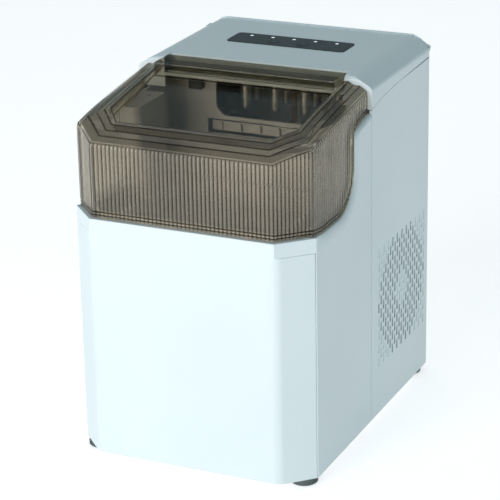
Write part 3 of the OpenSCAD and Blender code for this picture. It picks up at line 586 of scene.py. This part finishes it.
def addFloor():
    deselectAll()
    bpy.ops.mesh.primitive_grid_add(x_subdivisions=8, y_subdivisions=8, size=studio["floorSize"])
    floor = bpy.context.object
    floor.name = "studioFloor"
    paper = makeMaterial("palePaper", (0.80, 0.80, 0.80), (0.78, 0.78, 0.785), 0.8, 0.1, 200, 0.05, 0.0,
                         Emission_Color=(1, 1, 1, 1), Emission_Strength=studio["floorGlow"])
    floor.data.materials.append(paper)


addFloor()


# Outline of the case front, with its two chamfers

def outlineCorners(inset, back):
    k = inset * (math.sqrt(2) - 1)
    side = case["halfWidth"] - inset
    frontX = case["halfWidth"] - case["chamfer"] - k
    frontY = -(case["halfDepth"] - inset)
    right = [(frontX, frontY), (side, sideY + k), (side, back)]
    return [(-x, y) for x, y in reversed(right)] + right


def pointOn(corners, counts, i):
    # The i-th of the points spread over an outline's stretches, counts[k] of them on stretch k
    for k, count in enumerate(counts):
        if i <= count or k == len(counts) - 1:
            share = i / count
            a, b = corners[k], corners[k + 1]
            return a[0] + (b[0] - a[0]) * share, a[1] + (b[1] - a[1]) * share
        i -= count


def lerp(a, b, t):
    return a + (b - a) * t


# Rims of the side panels, on which the lid rests

rim = {"ledgeFall": 3.0, "ledgeLength": 20, "upright": -33.7, "sweep": 36.0, "corner": 9.0,
       "shelf": case["deck"] - 36.5, "shelfRise": 5.0, "ledgeWidth": 8.5, "rearEnd": -0.3,
       "ledgeSteps": 6, "sweepSteps": 14, "cornerSteps": 8,
       "bevelWidth": 2.7, "bevelFall": 10.0, "bevelBack": 4.0, "bevelSkew": 0.15, "bevelGrowth": 4,
       "bevelShares": (0.04, 0.14, 0.3, 0.5, 0.7, 0.86, 0.96), "lip": 0.5,
       "collarRoll": [(0.5, 0), (0.3, 0.05), (0.1, 0.3), (0, 0.8), (0, 3), (0, 5), (0, 7), (0, 9)]}


def arcPoints(cy, cz, r, start, end, steps):
    angles = [math.radians(lerp(start, end, k / steps)) for k in range(steps + 1)]
    return [(cy + r * math.cos(a), cz + r * math.sin(a)) for a in angles]


def rimLine(fall, back):
    # Side view of a rim line as (y, z) points, moved down by fall and back by back
    ledge = case["collarTop"] - rim["ledgeFall"]
    upright = rim["upright"] + back
    sweepR = rim["sweep"] + back
    cornerR = rim["corner"] - back
    top = rim["shelf"] - back
    points = []
    for k in range(rim["ledgeSteps"] + 1):
        share = k / rim["ledgeSteps"]
        height = case["collarTop"] - rim["ledgeFall"] * share - fall
        points.append((sideY + rim["ledgeLength"] * share, height))
    points += arcPoints(upright - sweepR, ledge - fall + sweepR, sweepR, 270, 360, rim["sweepSteps"])
    points += arcPoints(upright + cornerR, top - cornerR, cornerR, 180, 100, rim["cornerSteps"])
    points.append((rim["rearEnd"], rim["shelf"] + rim["shelfRise"] - back))
    return points


def sideStation(s, side):
    # Closed section of the side panel at rim point s: ledge, soft bevel, outer face, inner face
    outer, wall = case["halfWidth"], case["wall"]
    inner = outer - rim["ledgeWidth"]
    line = rimLine(0, 0)
    top = line[s]
    under = rimLine(wall, 0)[s]
    steep = rim["ledgeSteps"] < s < len(line) - 1
    under = (under[0] + (wall if steep else 0), under[1])
    width = rim["bevelWidth"] * min(1.0, s / rim["bevelGrowth"])
    rows = [(inner, *under), (inner, *top), (outer - width - rim["lip"], *top)]
    for share in rim["bevelShares"]:
        x = outer - width * (1 - math.sin(share * math.pi / 2))
        drop = 1 - math.cos(share * math.pi / 2) * (1 - share * rim["bevelSkew"])
        rows.append((x, *rimLine(rim["bevelFall"] * drop, rim["bevelBack"] * drop)[s]))
    low = rimLine(rim["bevelFall"], rim["bevelBack"])[s]
    rows += [(outer, *low), (outer, low[0], case["foot"]), (outer - wall, low[0], case["foot"]),
             (outer - wall, *under)]
    return [(side * x, y, z) for x, y, z in rows]


def collarStation(corner, side):
    # The same section where the collar runs round the front: corner 0 is next to the side panel
    rows = []
    top, bottom, wall = case["collarTop"], case["collarBottom"], case["wall"]
    profile = [(rim["ledgeWidth"], top - wall), (rim["ledgeWidth"], top)]
    profile += [(inset, top - drop) for inset, drop in rim["collarRoll"]]
    profile += [(0, bottom + 1), (0, bottom), (wall, bottom), (wall, top - wall)]
    for inset, z in profile:
        x, y = outlineCorners(inset, 0)[4 - corner]
        rows.append((side * (x if x > 0 else -x), y, z))
    return rows


def makeSideFrame():
    count = len(rimLine(0, 0))
    stations = [sideStation(s, -1) for s in range(count - 1, -1, -1)]
    stations += [collarStation(0, -1), collarStation(1, -1), collarStation(1, 1), collarStation(0, 1)]
    stations += [sideStation(s, 1) for s in range(count)]
    rows = len(stations[0])
    obj = wrapGrid(len(stations) - 1, rows, lambda i, j: stations[i][j % rows])
    softenEdges(obj, 0.5, 2, 40)
    return finishPiece(obj, "sideFrame", "body", "white_shell", materials["white_shell"], ("side_frame",), 30)


makeSideFrame()
print("side frame is made")

# Front panel

frontPanel = {"inset": 1.0, "top": 211.2, "joint": 0.3, "chamferShort": 0.6, "cornerRadius": 5.0, "edge": 0.7,
              "thickness": 2.4}


def makeFrontPanel():
    side = case["halfWidth"] - frontPanel["inset"]
    front = -(case["halfDepth"] - frontPanel["inset"])
    back = sideY - frontPanel["joint"]
    obj = block(-side, side, front, back, case["foot"], frontPanel["top"])
    chamfer = back - front - frontPanel["chamferShort"]
    bevelEdges(obj, chamfer, 1, lambda a, b: max(a.y, b.y) < front + 1 and abs(a.z - b.z) > 1)
    deleteFaces(obj, lambda c, n: n.y > 0.9)
    bevelEdges(obj, frontPanel["cornerRadius"], 5,
               lambda a, b: abs(a.z - b.z) > 1 and abs(a.x) < side - 5)
    deleteFaces(obj, lambda c, n: n.z < -0.9)
    applyModifier(obj, "SOLIDIFY", thickness=frontPanel["thickness"] * mm, offset=-1)
    softenEdges(obj, frontPanel["edge"], 3, 40)
    return finishPiece(obj, "frontPanel", "body", "white_shell", materials["white_shell"], ("front_panel",))


makeFrontPanel()
print("front panel is made")

# Top cover

flange = {"x": 85.5, "top": case["deck"] + 0.6, "axisY": 6.0, "axisZ": case["deck"] - 6.3, "barrel": 6.9,
          "wall": 2.3, "web": 2.4, "root": 2.2, "pin": 2.5, "pinLength": 5.0, "edge": 0.4}
topCover = {"front": 0.8, "edgeIn": 16.0, "edgeDrop": 9.0, "softness": 6.0, "cornerRadius": 8.0, "wall": 2.4,
            "skirt": 30, "sideRound": 3.0, "backRound": 2.0,
            "seam": [(0, -28.35), (27, -22.85), (71, -19.85), (150, -17.0)], "seamCuts": (27, 71, 110),
            "seamGap": 0.15, "notchX": 86.2, "notchBack": 14.3, "notchFloor": 312.5,
            "bayBack": 9, "bayDepth": 40, "cheek": 6.2, "pinBore": 2.56, "wellFront": 8.0,
            "seatGap": 0.15, "seatDepth": 1.2, "seatCorner": 4.0,
            "catchY": (3, 9), "catchZ": (-0.4, 0.9), "catchDepth": 1.2}


def seamHeight(y):
    line = topCover["seam"]
    for (y0, z0), (y1, z1) in zip(line, line[1:]):
        if y <= y1:
            return case["deck"] + lerp(z0, z1, (y - y0) / (y1 - y0))
    return case["deck"] + line[-1][1]


def addHingeWell(obj):
    # Floor, back wall and cheeks of the well that the lid's hinge turns in
    x, wall = topCover["notchX"], topCover["wall"]
    floorZ, back = topCover["notchFloor"], topCover["notchBack"]
    under = case["deck"] - wall + 0.2
    walls = [block(-x - 1, x + 1, topCover["wellFront"], back + wall, floorZ - wall, floorZ),
             block(-x - 1, x + 1, back, back + wall, floorZ - 0.5, under)]
    for side in (-1, 1):
        a, b = sorted((side * x, side * (x + topCover["cheek"])))
        cheek = block(a, b, topCover["front"] + 0.5, back + wall, floorZ - wall, under)
        cutWith(cheek, [rod("X", (side * x, flange["axisY"], flange["axisZ"]), topCover["pinBore"], 11, 24)])
        walls.append(cheek)
    for part in walls:
        applyModifier(obj, "BOOLEAN", operation="UNION", object=part, solver="EXACT")
        bpy.data.objects.remove(part)


def shapeDeck(obj, inner):
    # The deck falls away past x = inner on both sides, and every edge of it is rounded
    outer, back, deck = case["halfWidth"], case["halfDepth"], case["deck"]
    for vertex in obj.data.vertices:
        x, z = abs(vertex.co.x / mm), vertex.co.z / mm
        if z > deck - 1 and x > inner + 0.1:
            vertex.co.z = (deck - topCover["edgeDrop"] * (x - inner) / (outer - inner)) * mm

    def isFold(a, b):
        return max(abs(abs(a.x) - inner), abs(abs(b.x) - inner)) < 0.1 and min(a.z, b.z) > deck - 1

    def isSideEdge(a, b):
        return min(a.z, b.z) > deck - 12 and min(abs(a.x), abs(b.x)) > outer - 0.2

    def isBackEdge(a, b):
        high = min(a.z, b.z)
        across = high > deck - 0.5 or abs(a.x - b.x) > 0.3
        return high > deck - 14 and min(a.y, b.y) > back - 9 and abs(a.z - b.z) < 8 and across

    bevelEdges(obj, topCover["softness"], 5, isFold)
    bevelEdges(obj, topCover["sideRound"], 4, isSideEdge)
    bevelEdges(obj, topCover["backRound"], 4, isBackEdge)


def sliceAll(obj, point, normal):
    pick(obj, "FACE", lambda c, n: True)
    bpy.ops.mesh.bisect(plane_co=point, plane_no=normal)
    bpy.ops.object.mode_set(mode="OBJECT")


def coverCutters():
    # The notch for the lid's flange, the panel's seat, the bay under the hinge, and a catch slot on each side
    outer, deck, x = case["halfWidth"], case["deck"], topCover["notchX"]
    above, ahead, floorZ = deck + 9, -5, topCover["notchFloor"]
    notch = block(-x, x, ahead, topCover["notchBack"], floorZ, above)
    low, high = millimetres("control_panel")
    gap, seatZ = topCover["seatGap"], deck - topCover["seatDepth"]
    seat = block(low[0] - gap, high[0] + gap, low[1] - gap, high[1] + gap, seatZ, above)
    bevelEdges(seat, topCover["seatCorner"], 5, lambda a, b: abs(a.z - b.z) > 1)
    bay = block(-x, x, ahead, topCover["bayBack"], deck - topCover["bayDepth"], floorZ - topCover["wall"])
    y0, y1 = topCover["catchY"]
    z0, z1 = [seamHeight(y0) + z for z in topCover["catchZ"]]
    deep = topCover["catchDepth"]
    catches = [block(side * outer - deep, side * outer + deep, y0, y1, z0, z1) for side in (-1, 1)]
    return [notch, seat, bay, *catches]


def makeTopCover():
    outer, back, deck = case["halfWidth"], case["halfDepth"], case["deck"]
    inner, floorZ = outer - topCover["edgeIn"], deck - topCover["skirt"]
    obj = block(-outer, outer, topCover["front"], back, floorZ, deck)
    bevelEdges(obj, topCover["cornerRadius"], 8, lambda a, b: abs(a.z - b.z) > 1 and a.y > back - 1)
    for x in (-inner, inner):
        sliceAll(obj, (x * mm, 0, 0), (1, 0, 0))
    shapeDeck(obj, inner)
    deleteFaces(obj, lambda c, n: n.z < -0.9)
    for y in topCover["seamCuts"]:
        sliceAll(obj, (0, y * mm, 0), (0, 1, 0))
    for vertex in obj.data.vertices:
        if vertex.co.z / mm < floorZ + 0.1:
            vertex.co.z = (seamHeight(vertex.co.y / mm) + topCover["seamGap"]) * mm
    applyModifier(obj, "SOLIDIFY", thickness=topCover["wall"] * mm, offset=-1)
    cutWith(obj, coverCutters())
    addHingeWell(obj)
    return finishPiece(obj, "topCover", "body", "white_shell", materials["white_shell"], ("top_cover",), 30)


makeTopCover()
print("top cover is made")

# Smoked lid

lid = {"inset": 3.9, "pitch": 3.9, "ribDepth": 1.2, "ribSteps": 6, "ribRoundness": 0.75, "thickness": 2.3,
       "back": -1.0, "gap": 0.6, "shoulderDrop": 11.6, "shoulderFall": 16.8, "shoulderCurl": 8.6,
       "windowBack": -21.0, "windowSlope": 0.189, "windowZ": case["deck"] - 6.5, "pane": 2.4,
       "bandCorners": [(77.6, -139.3), (101.4, -114.6)], "windowCorners": [(71.0, -120.0), (86.0, -99.6)],
       "bandInset": 10.6, "windowInset": 26.0}

# The lid's section, row by row. Foot and head rows: distance from the wall's end, and share of the rib's
# depth. Deck rows: inset, height over the shoulder at the hinge and at the front, and tone: low tones paint
# shade on the flats and dark lines along the creases, high tones a painted highlight. Under rows: the same
# without the tone. Step rows: inset, and height over the window's top.
# Tones of the deck's painted shade: its flats, the near black lines along its creases, and its lip
plainShade, creaseShade, lipShade = 0.27, 0.02, 0.4
lidRows = {
    "foot": [(0.0, 0.3), (0.4, 0.9), (1.6, 1.0), (2.1, 0.2), (2.7, 0.2), (3.2, 1.0), (4.4, 1.0), (4.9, 0.2),
             (5.5, 0.2), (6.2, 1.0)],
    "head": [(3.2, 1.0), (1.7, 0.86), (0.8, 0.55), (0.25, 0.1)],
    "deck": [(lid["inset"] + 0.1, 0.25, 0.25, creaseShade), (lid["inset"] + 0.9, 0.95, 0.8, 0.9),
             (lid["inset"] + 1.7, 1.51, 1.04, plainShade), (9.6, 4.29, 2.21, plainShade),
             (9.9, 4.5, 2.3, creaseShade), (10.8, 4.9, 2.6, creaseShade), (11.1, 4.9, 2.6, plainShade),
             (15.5, 4.9, 2.6, plainShade), (15.8, 4.9, 2.6, creaseShade), (16.6, 5.2, 2.8, creaseShade),
             (16.9, 5.37, 2.89, plainShade),
             (20.3, 7.24, 3.91, plainShade), (20.6, 7.4, 4.0, creaseShade), (21.5, 7.7, 4.2, creaseShade),
             (21.8, 7.7, 4.2, lipShade), (24.3, 7.7, 4.2, lipShade), (24.6, 7.7, 4.2, creaseShade),
             (25.3, 7.4, 3.9, creaseShade)],
    "step": [(25.9, 0.8), (26.0, 0.0), (26.0, -lid["pane"]), (23.8, -lid["pane"])],
    "under": [(23.4, 5.0, 1.6), (21.7, 5.0, 1.6), (16.9, 2.6, 0.4), (10.9, 2.5, 0.2),
              (lid["inset"] + lid["thickness"] + 0.7, -2.0, -1.6),
              (lid["inset"] + lid["thickness"], -2.9, -2.4)],
}


def shoulder(y):
    t = -y / (case["halfDepth"] - 3)
    return case["deck"] - lid["shoulderDrop"] - lid["shoulderFall"] * t - lid["shoulderCurl"] * t ** 6


def windowHeight(y):
    return lid["windowZ"] + y * lid["windowSlope"]


def lidCorners(inset):
    # Outline of the lid at an inset: the case's own at the wall, the band's line, then the window's edge
    outer = outlineCorners(inset, lid["back"])
    if inset <= lid["inset"]:
        return outer
    band = [*lid["bandCorners"], (case["halfWidth"] - lid["bandInset"], lid["back"])]
    window = [*lid["windowCorners"], (case["halfWidth"] - lid["windowInset"], lid["back"])]
    wall = outlineCorners(lid["inset"], lid["back"])[3:]
    if inset < lid["bandInset"]:
        share = (inset - lid["inset"]) / (lid["bandInset"] - lid["inset"])
        a, b = wall, band
    else:
        share = (inset - lid["bandInset"]) / (lid["windowInset"] - lid["bandInset"])
        a, b = band, window
    right = [(lerp(p[0], q[0], share), lerp(p[1], q[1], share)) for p, q in zip(a, b)]
    return [(-x, y) for x, y in reversed(right)] + right


lidGapLine = rimLine(0, 0)


def lidBottom(y):
    # Height of the lid's lower edge at depth y, just above the rim
    y = y + lid["gap"]
    points = lidGapLine
    if y <= points[0][0]:
        return points[0][1] + lid["gap"]
    for (y0, z0), (y1, z1) in zip(points, points[1:]):
        if y <= y1:
            share = 0 if y1 - y0 < 1e-6 else (y - y0) / (y1 - y0)
            return lerp(z0, z1, share) + lid["gap"]
    return points[-1][1] + lid["gap"]


def makeLidShell():
    side = abs(sideY - lid["back"])
    slant = case["chamfer"] * math.sqrt(2)
    front = 2 * (case["halfWidth"] - case["chamfer"])
    ribs = [round(length / lid["pitch"]) for length in (side, slant, front, slant, side)]
    counts = [n * lid["ribSteps"] for n in ribs]
    foot, head, deck, step, under = (lidRows[key] for key in ("foot", "head", "deck", "step", "under"))
    ribRows = len(foot) + 1 + len(head)
    rows = ribRows + len(deck) + len(step) + len(under) + 1
    wall = lidCorners(lid["inset"])

    def ribShape(i):
        return abs(math.sin(math.pi * (i % lid["ribSteps"]) / lid["ribSteps"]))

    def ribbed(i, z, share):
        depth = lid["ribDepth"] * ribShape(i) ** lid["ribRoundness"] * share
        x, y = pointOn(lidCorners(lid["inset"] - depth), counts, i)
        return x, y, z

    def overShoulder(i, inset, atHinge, atFront):
        x, y = pointOn(lidCorners(inset), counts, i)
        return x, y, shoulder(y) + lerp(atHinge, atFront, min(1, -y / case["halfDepth"]))

    def shape(i, j):
        j = j % rows
        y = pointOn(wall, counts, i)[1]
        bottom, top = lidBottom(y), shoulder(y)
        if j < len(foot):
            return ribbed(i, bottom + foot[j][0], foot[j][1])
        if j == len(foot):
            return ribbed(i, (bottom + top) / 2, 1.0)
        if j < ribRows:
            drop, share = head[j - len(foot) - 1]
            return ribbed(i, top - drop, share)
        j -= ribRows
        if j < len(deck):
            return overShoulder(i, *deck[j][:3])
        j -= len(deck)
        if j < len(step):
            x, y = pointOn(lidCorners(step[j][0]), counts, i)
            return x, y, windowHeight(y) + step[j][1]
        j -= len(step)
        if j < len(under):
            return overShoulder(i, *under[j])
        x, y = pointOn(lidCorners(lid["inset"] + lid["thickness"]), counts, i)
        return x, y, bottom

    # Painted shade and highlight: light rib crests, dark valleys and foot grooves, and each deck row's own
    # tone
    def tone(i, j):
        j = j % rows
        if j < len(foot) - 1:
            return ribShape(i) if foot[j][1] > 0.5 else 0.0
        if j < ribRows:
            return (1.0 if j == ribRows - 2 else 0.95) * ribShape(i) ** 0.8
        j -= ribRows
        return deck[j][3] if j < len(deck) else 0.6

    obj = wrapGrid(sum(counts), rows, shape, tone)
    return finishPiece(obj, "lidShell", "lid", "smoked_clear", smokedRibs, ("lid",), 40)


def makeLidWindow():
    corners = lidCorners(lid["windowInset"] - 0.02)
    corners[0] = (corners[0][0], lid["windowBack"])
    corners[-1] = (corners[-1][0], lid["windowBack"])
    deselectAll()
    bpy.ops.mesh.primitive_circle_add(vertices=6, radius=0.1, fill_type="NGON")
    obj = bpy.context.object
    for vertex, (x, y) in zip(obj.data.vertices, corners):
        vertex.co = (x * mm, y * mm, windowHeight(y) * mm)
    bpy.ops.object.mode_set(mode="EDIT")
    bpy.ops.mesh.select_all(action="SELECT")
    bpy.ops.mesh.extrude_region_move(TRANSFORM_OT_translate={"value": (0, 0, -lid["pane"] * mm)})
    bpy.ops.mesh.select_all(action="SELECT")
    bpy.ops.mesh.normals_make_consistent(inside=False)
    bpy.ops.object.mode_set(mode="OBJECT")
    softenEdges(obj, 0.3, 2, 50)
    return finishPiece(obj, "lidWindow", "lid", "smoked_clear", materials["smoked_clear"])


def makeLidFlange():
    front, top, under = lid["windowBack"], flange["top"], flange["top"] - flange["wall"]
    cy, cz, r = flange["axisY"], flange["axisZ"], flange["barrel"]
    root = windowHeight(front) - flange["root"]
    profile = [(front + 0.05, root), (front + 0.05, top - 1.2), (front + 0.4, top - 0.35), (front + 1.2, top)]
    profile += arcPoints(cy, cz, r, 90, -90, 12)
    profile += arcPoints(cy, cz, r, -120, -180, 4)
    profile += [(cy - r, under - 1.5), (cy - r - 1.5, under), (front + flange["web"] + 0.8, under),
                (front + flange["web"], under - 0.8), (front + flange["web"], root)]
    rows = len(profile)
    obj = wrapGrid(12, rows, lambda i, j: (flange["x"] * (i / 6 - 1), *profile[j % rows]))
    softenEdges(obj, flange["edge"], 2, 50)
    finishPiece(obj, "lidFlange", "lid", "smoked_clear", smokedDark)
    pins = []
    for side in (-1, 1):
        x = side * (flange["x"] + flange["pinLength"] / 2 - 0.2)
        pin = rod("X", (x, cy, cz), flange["pin"], flange["pinLength"], 24)
        softenEdges(pin, flange["edge"], 2, 50)
        pins.append(pin)
    finishPiece(joinAll(pins), "lidPins", "lid", "smoked_clear", smokedDark)


makeLidShell()
makeLidWindow()
makeLidFlange()
print("lid is made")

# Rear shell, pierced by the vents and with the same slots sunk in the corners of each grille and in its hub

grille = {"y": 75.5, "z": 109.0, "radius": 61.0, "hub": 14.5, "width": 3.2, "length": 9.5, "pitchY": 5.7,
          "pitchZ": 13.0, "clipZ": 54.0, "patchY": 61.5, "patchZ": 58.0, "depth": 0.45, "edge": 0.3,
          "hubMargin": 2, "rimMargin": 1}


def sunkSlots():
    g = grille
    nearest, farthest = g["hub"] - g["hubMargin"], g["radius"] + g["rimMargin"]
    wide, tall = g["width"] / 2, g["length"] / 2
    pill = block(-g["depth"], g["depth"], g["y"] - wide, g["y"] + wide, g["z"] - tall, g["z"] + tall)
    bevelEdges(pill, wide - 0.02, 3, lambda a, b: abs(a.x - b.x) > 0.1)
    pills = []
    columns, rows = int(g["patchY"] / g["pitchY"]), int(g["patchZ"] / g["pitchZ"]) + 1
    for column in range(-columns, columns + 1):
        for row in range(-rows, rows + 1):
            y, z = column * g["pitchY"], (row + (column % 2) / 2) * g["pitchZ"]
            pierced = nearest + tall < math.hypot(y, z) < farthest - tall and abs(z) < g["clipZ"]
            if pierced or abs(z) + tall > g["patchZ"]:
                continue
            for side in (-1, 1):
                pills.append(copyOf(pill, side * case["halfWidth"], y, z))
    bpy.data.objects.remove(pill)
    return joinAll(pills)


def makeRearShell():
    obj = mergedCopy("rear_shell")
    cutWith(obj, [sunkSlots()])
    softenEdges(obj, grille["edge"], 2, 40)
    return finishPiece(obj, "rearShell", "body", "white_shell", materials["white_shell"], ("rear_shell",), 35)


makeRearShell()
print("rear shell is made")

# Control panel, with a sunk ring in each button

controls = {"edge": 0.3, "ringRadius": 4.4, "ringDepth": 0.22}


def makeControls():
    softCopy("control_panel", controls["edge"], segments=3)
    softCopy("led_lenses", controls["edge"])
    for node in ("power_button", "select_button"):
        low, high = millimetres(node)
        centre = ((low[0] + high[0]) / 2, (low[1] + high[1]) / 2, high[2])
        softCopy(node, controls["edge"], [ring("Z", centre, controls["ringRadius"], controls["ringDepth"])])


makeControls()
print("control panel is made")

# Feet, drain and screws

fittings = {"footRadius": 12.0, "footGroove": 0.7, "grooveOut": 0.2, "footEdge": 0.5,
            "spoutEdge": 0.3, "flutes": 16, "fluteRadius": 0.9, "capEdge": 0.25,
            "crossLength": 4.2, "crossWidth": 0.9, "crossDepth": 1.3, "screwX": 92.0, "screwZ": (22.0, 280.0),
            "screwEdge": 0.2}


def makeFeet():
    low, high = millimetres("rubber_feet")
    radius = fittings["footRadius"]
    grooves = [ring("Z", (x, y, case["foot"] / 2), radius + fittings["grooveOut"], fittings["footGroove"])
               for x in (low[0] + radius, high[0] - radius) for y in (low[1] + radius, high[1] - radius)]
    softCopy("rubber_feet", fittings["footEdge"], grooves)


def makeDrain():
    softCopy("drain_spout", fittings["spoutEdge"])
    low, high = millimetres("drain_cap")
    x, y, z = [(a + b) / 2 for a, b in zip(low, high)]
    reach = (high[0] - low[0]) / 2 + fittings["fluteRadius"] * 0.5
    flutes = []
    for k in range(fittings["flutes"]):
        angle = 2 * math.pi * k / fittings["flutes"]
        flutes.append(rod("Y", (x + reach * math.cos(angle), y, z + reach * math.sin(angle)),
                          fittings["fluteRadius"], high[1] - low[1] + 2, 10))
    softCopy("drain_cap", fittings["capEdge"], [joinAll(flutes)])


def makeScrews():
    head = millimetres("shell_screws")[1][1]
    long, wide, deep = fittings["crossLength"] / 2, fittings["crossWidth"] / 2, fittings["crossDepth"]
    crosses = []
    for x in (-fittings["screwX"], fittings["screwX"]):
        for z in fittings["screwZ"]:
            crosses.append(block(x - long, x + long, head - deep, head + 1, z - wide, z + wide))
            crosses.append(block(x - wide, x + wide, head - deep, head + 1, z - long, z + long))
    softCopy("shell_screws", fittings["screwEdge"], crosses)


makeFeet()
makeDrain()
makeScrews()
print("feet, drain and screws are made")

# What shows through the lid and what the case holds: each node's edges rounded as its material asks

softWidths = {
    "inner_liner": 0.6, "bulkhead": 0.5, "drive_housing": 1.2, "ice_basket": 0.45, "ice_scoop": 0.5,
    "water_tray": 0.5, "ice_pusher": 0.5, "ice_sensors": 0.4, "float_switch": 0.4, "float_ring": 0.6,
    "evaporator_block": 0.6, "evaporator_fingers": 0.4, "base_plate": 0.5, "power_inlet": 0.35,
    "display_board": 0.2, "insulation": 0.8, "tray_shaft": 0.4, "tray_bracket": 0.4, "tray_motor": 0.8,
    "water_pump": 0.8, "compressor": 0.8, "compressor_feet": 0.6, "terminal_cover": 0.8,
    "condenser_fins": 0.1, "fan_shroud": 0.6, "fan_motor": 0.6, "fan_rotor": 0.3, "filter_drier": 0.3,
    "solenoid_valve": 0.4,
    "power_board": 0.2, "transformer": 0.5,
}
for node, width in softWidths.items():
    softCopy(node, width)
print("inside pieces are made")
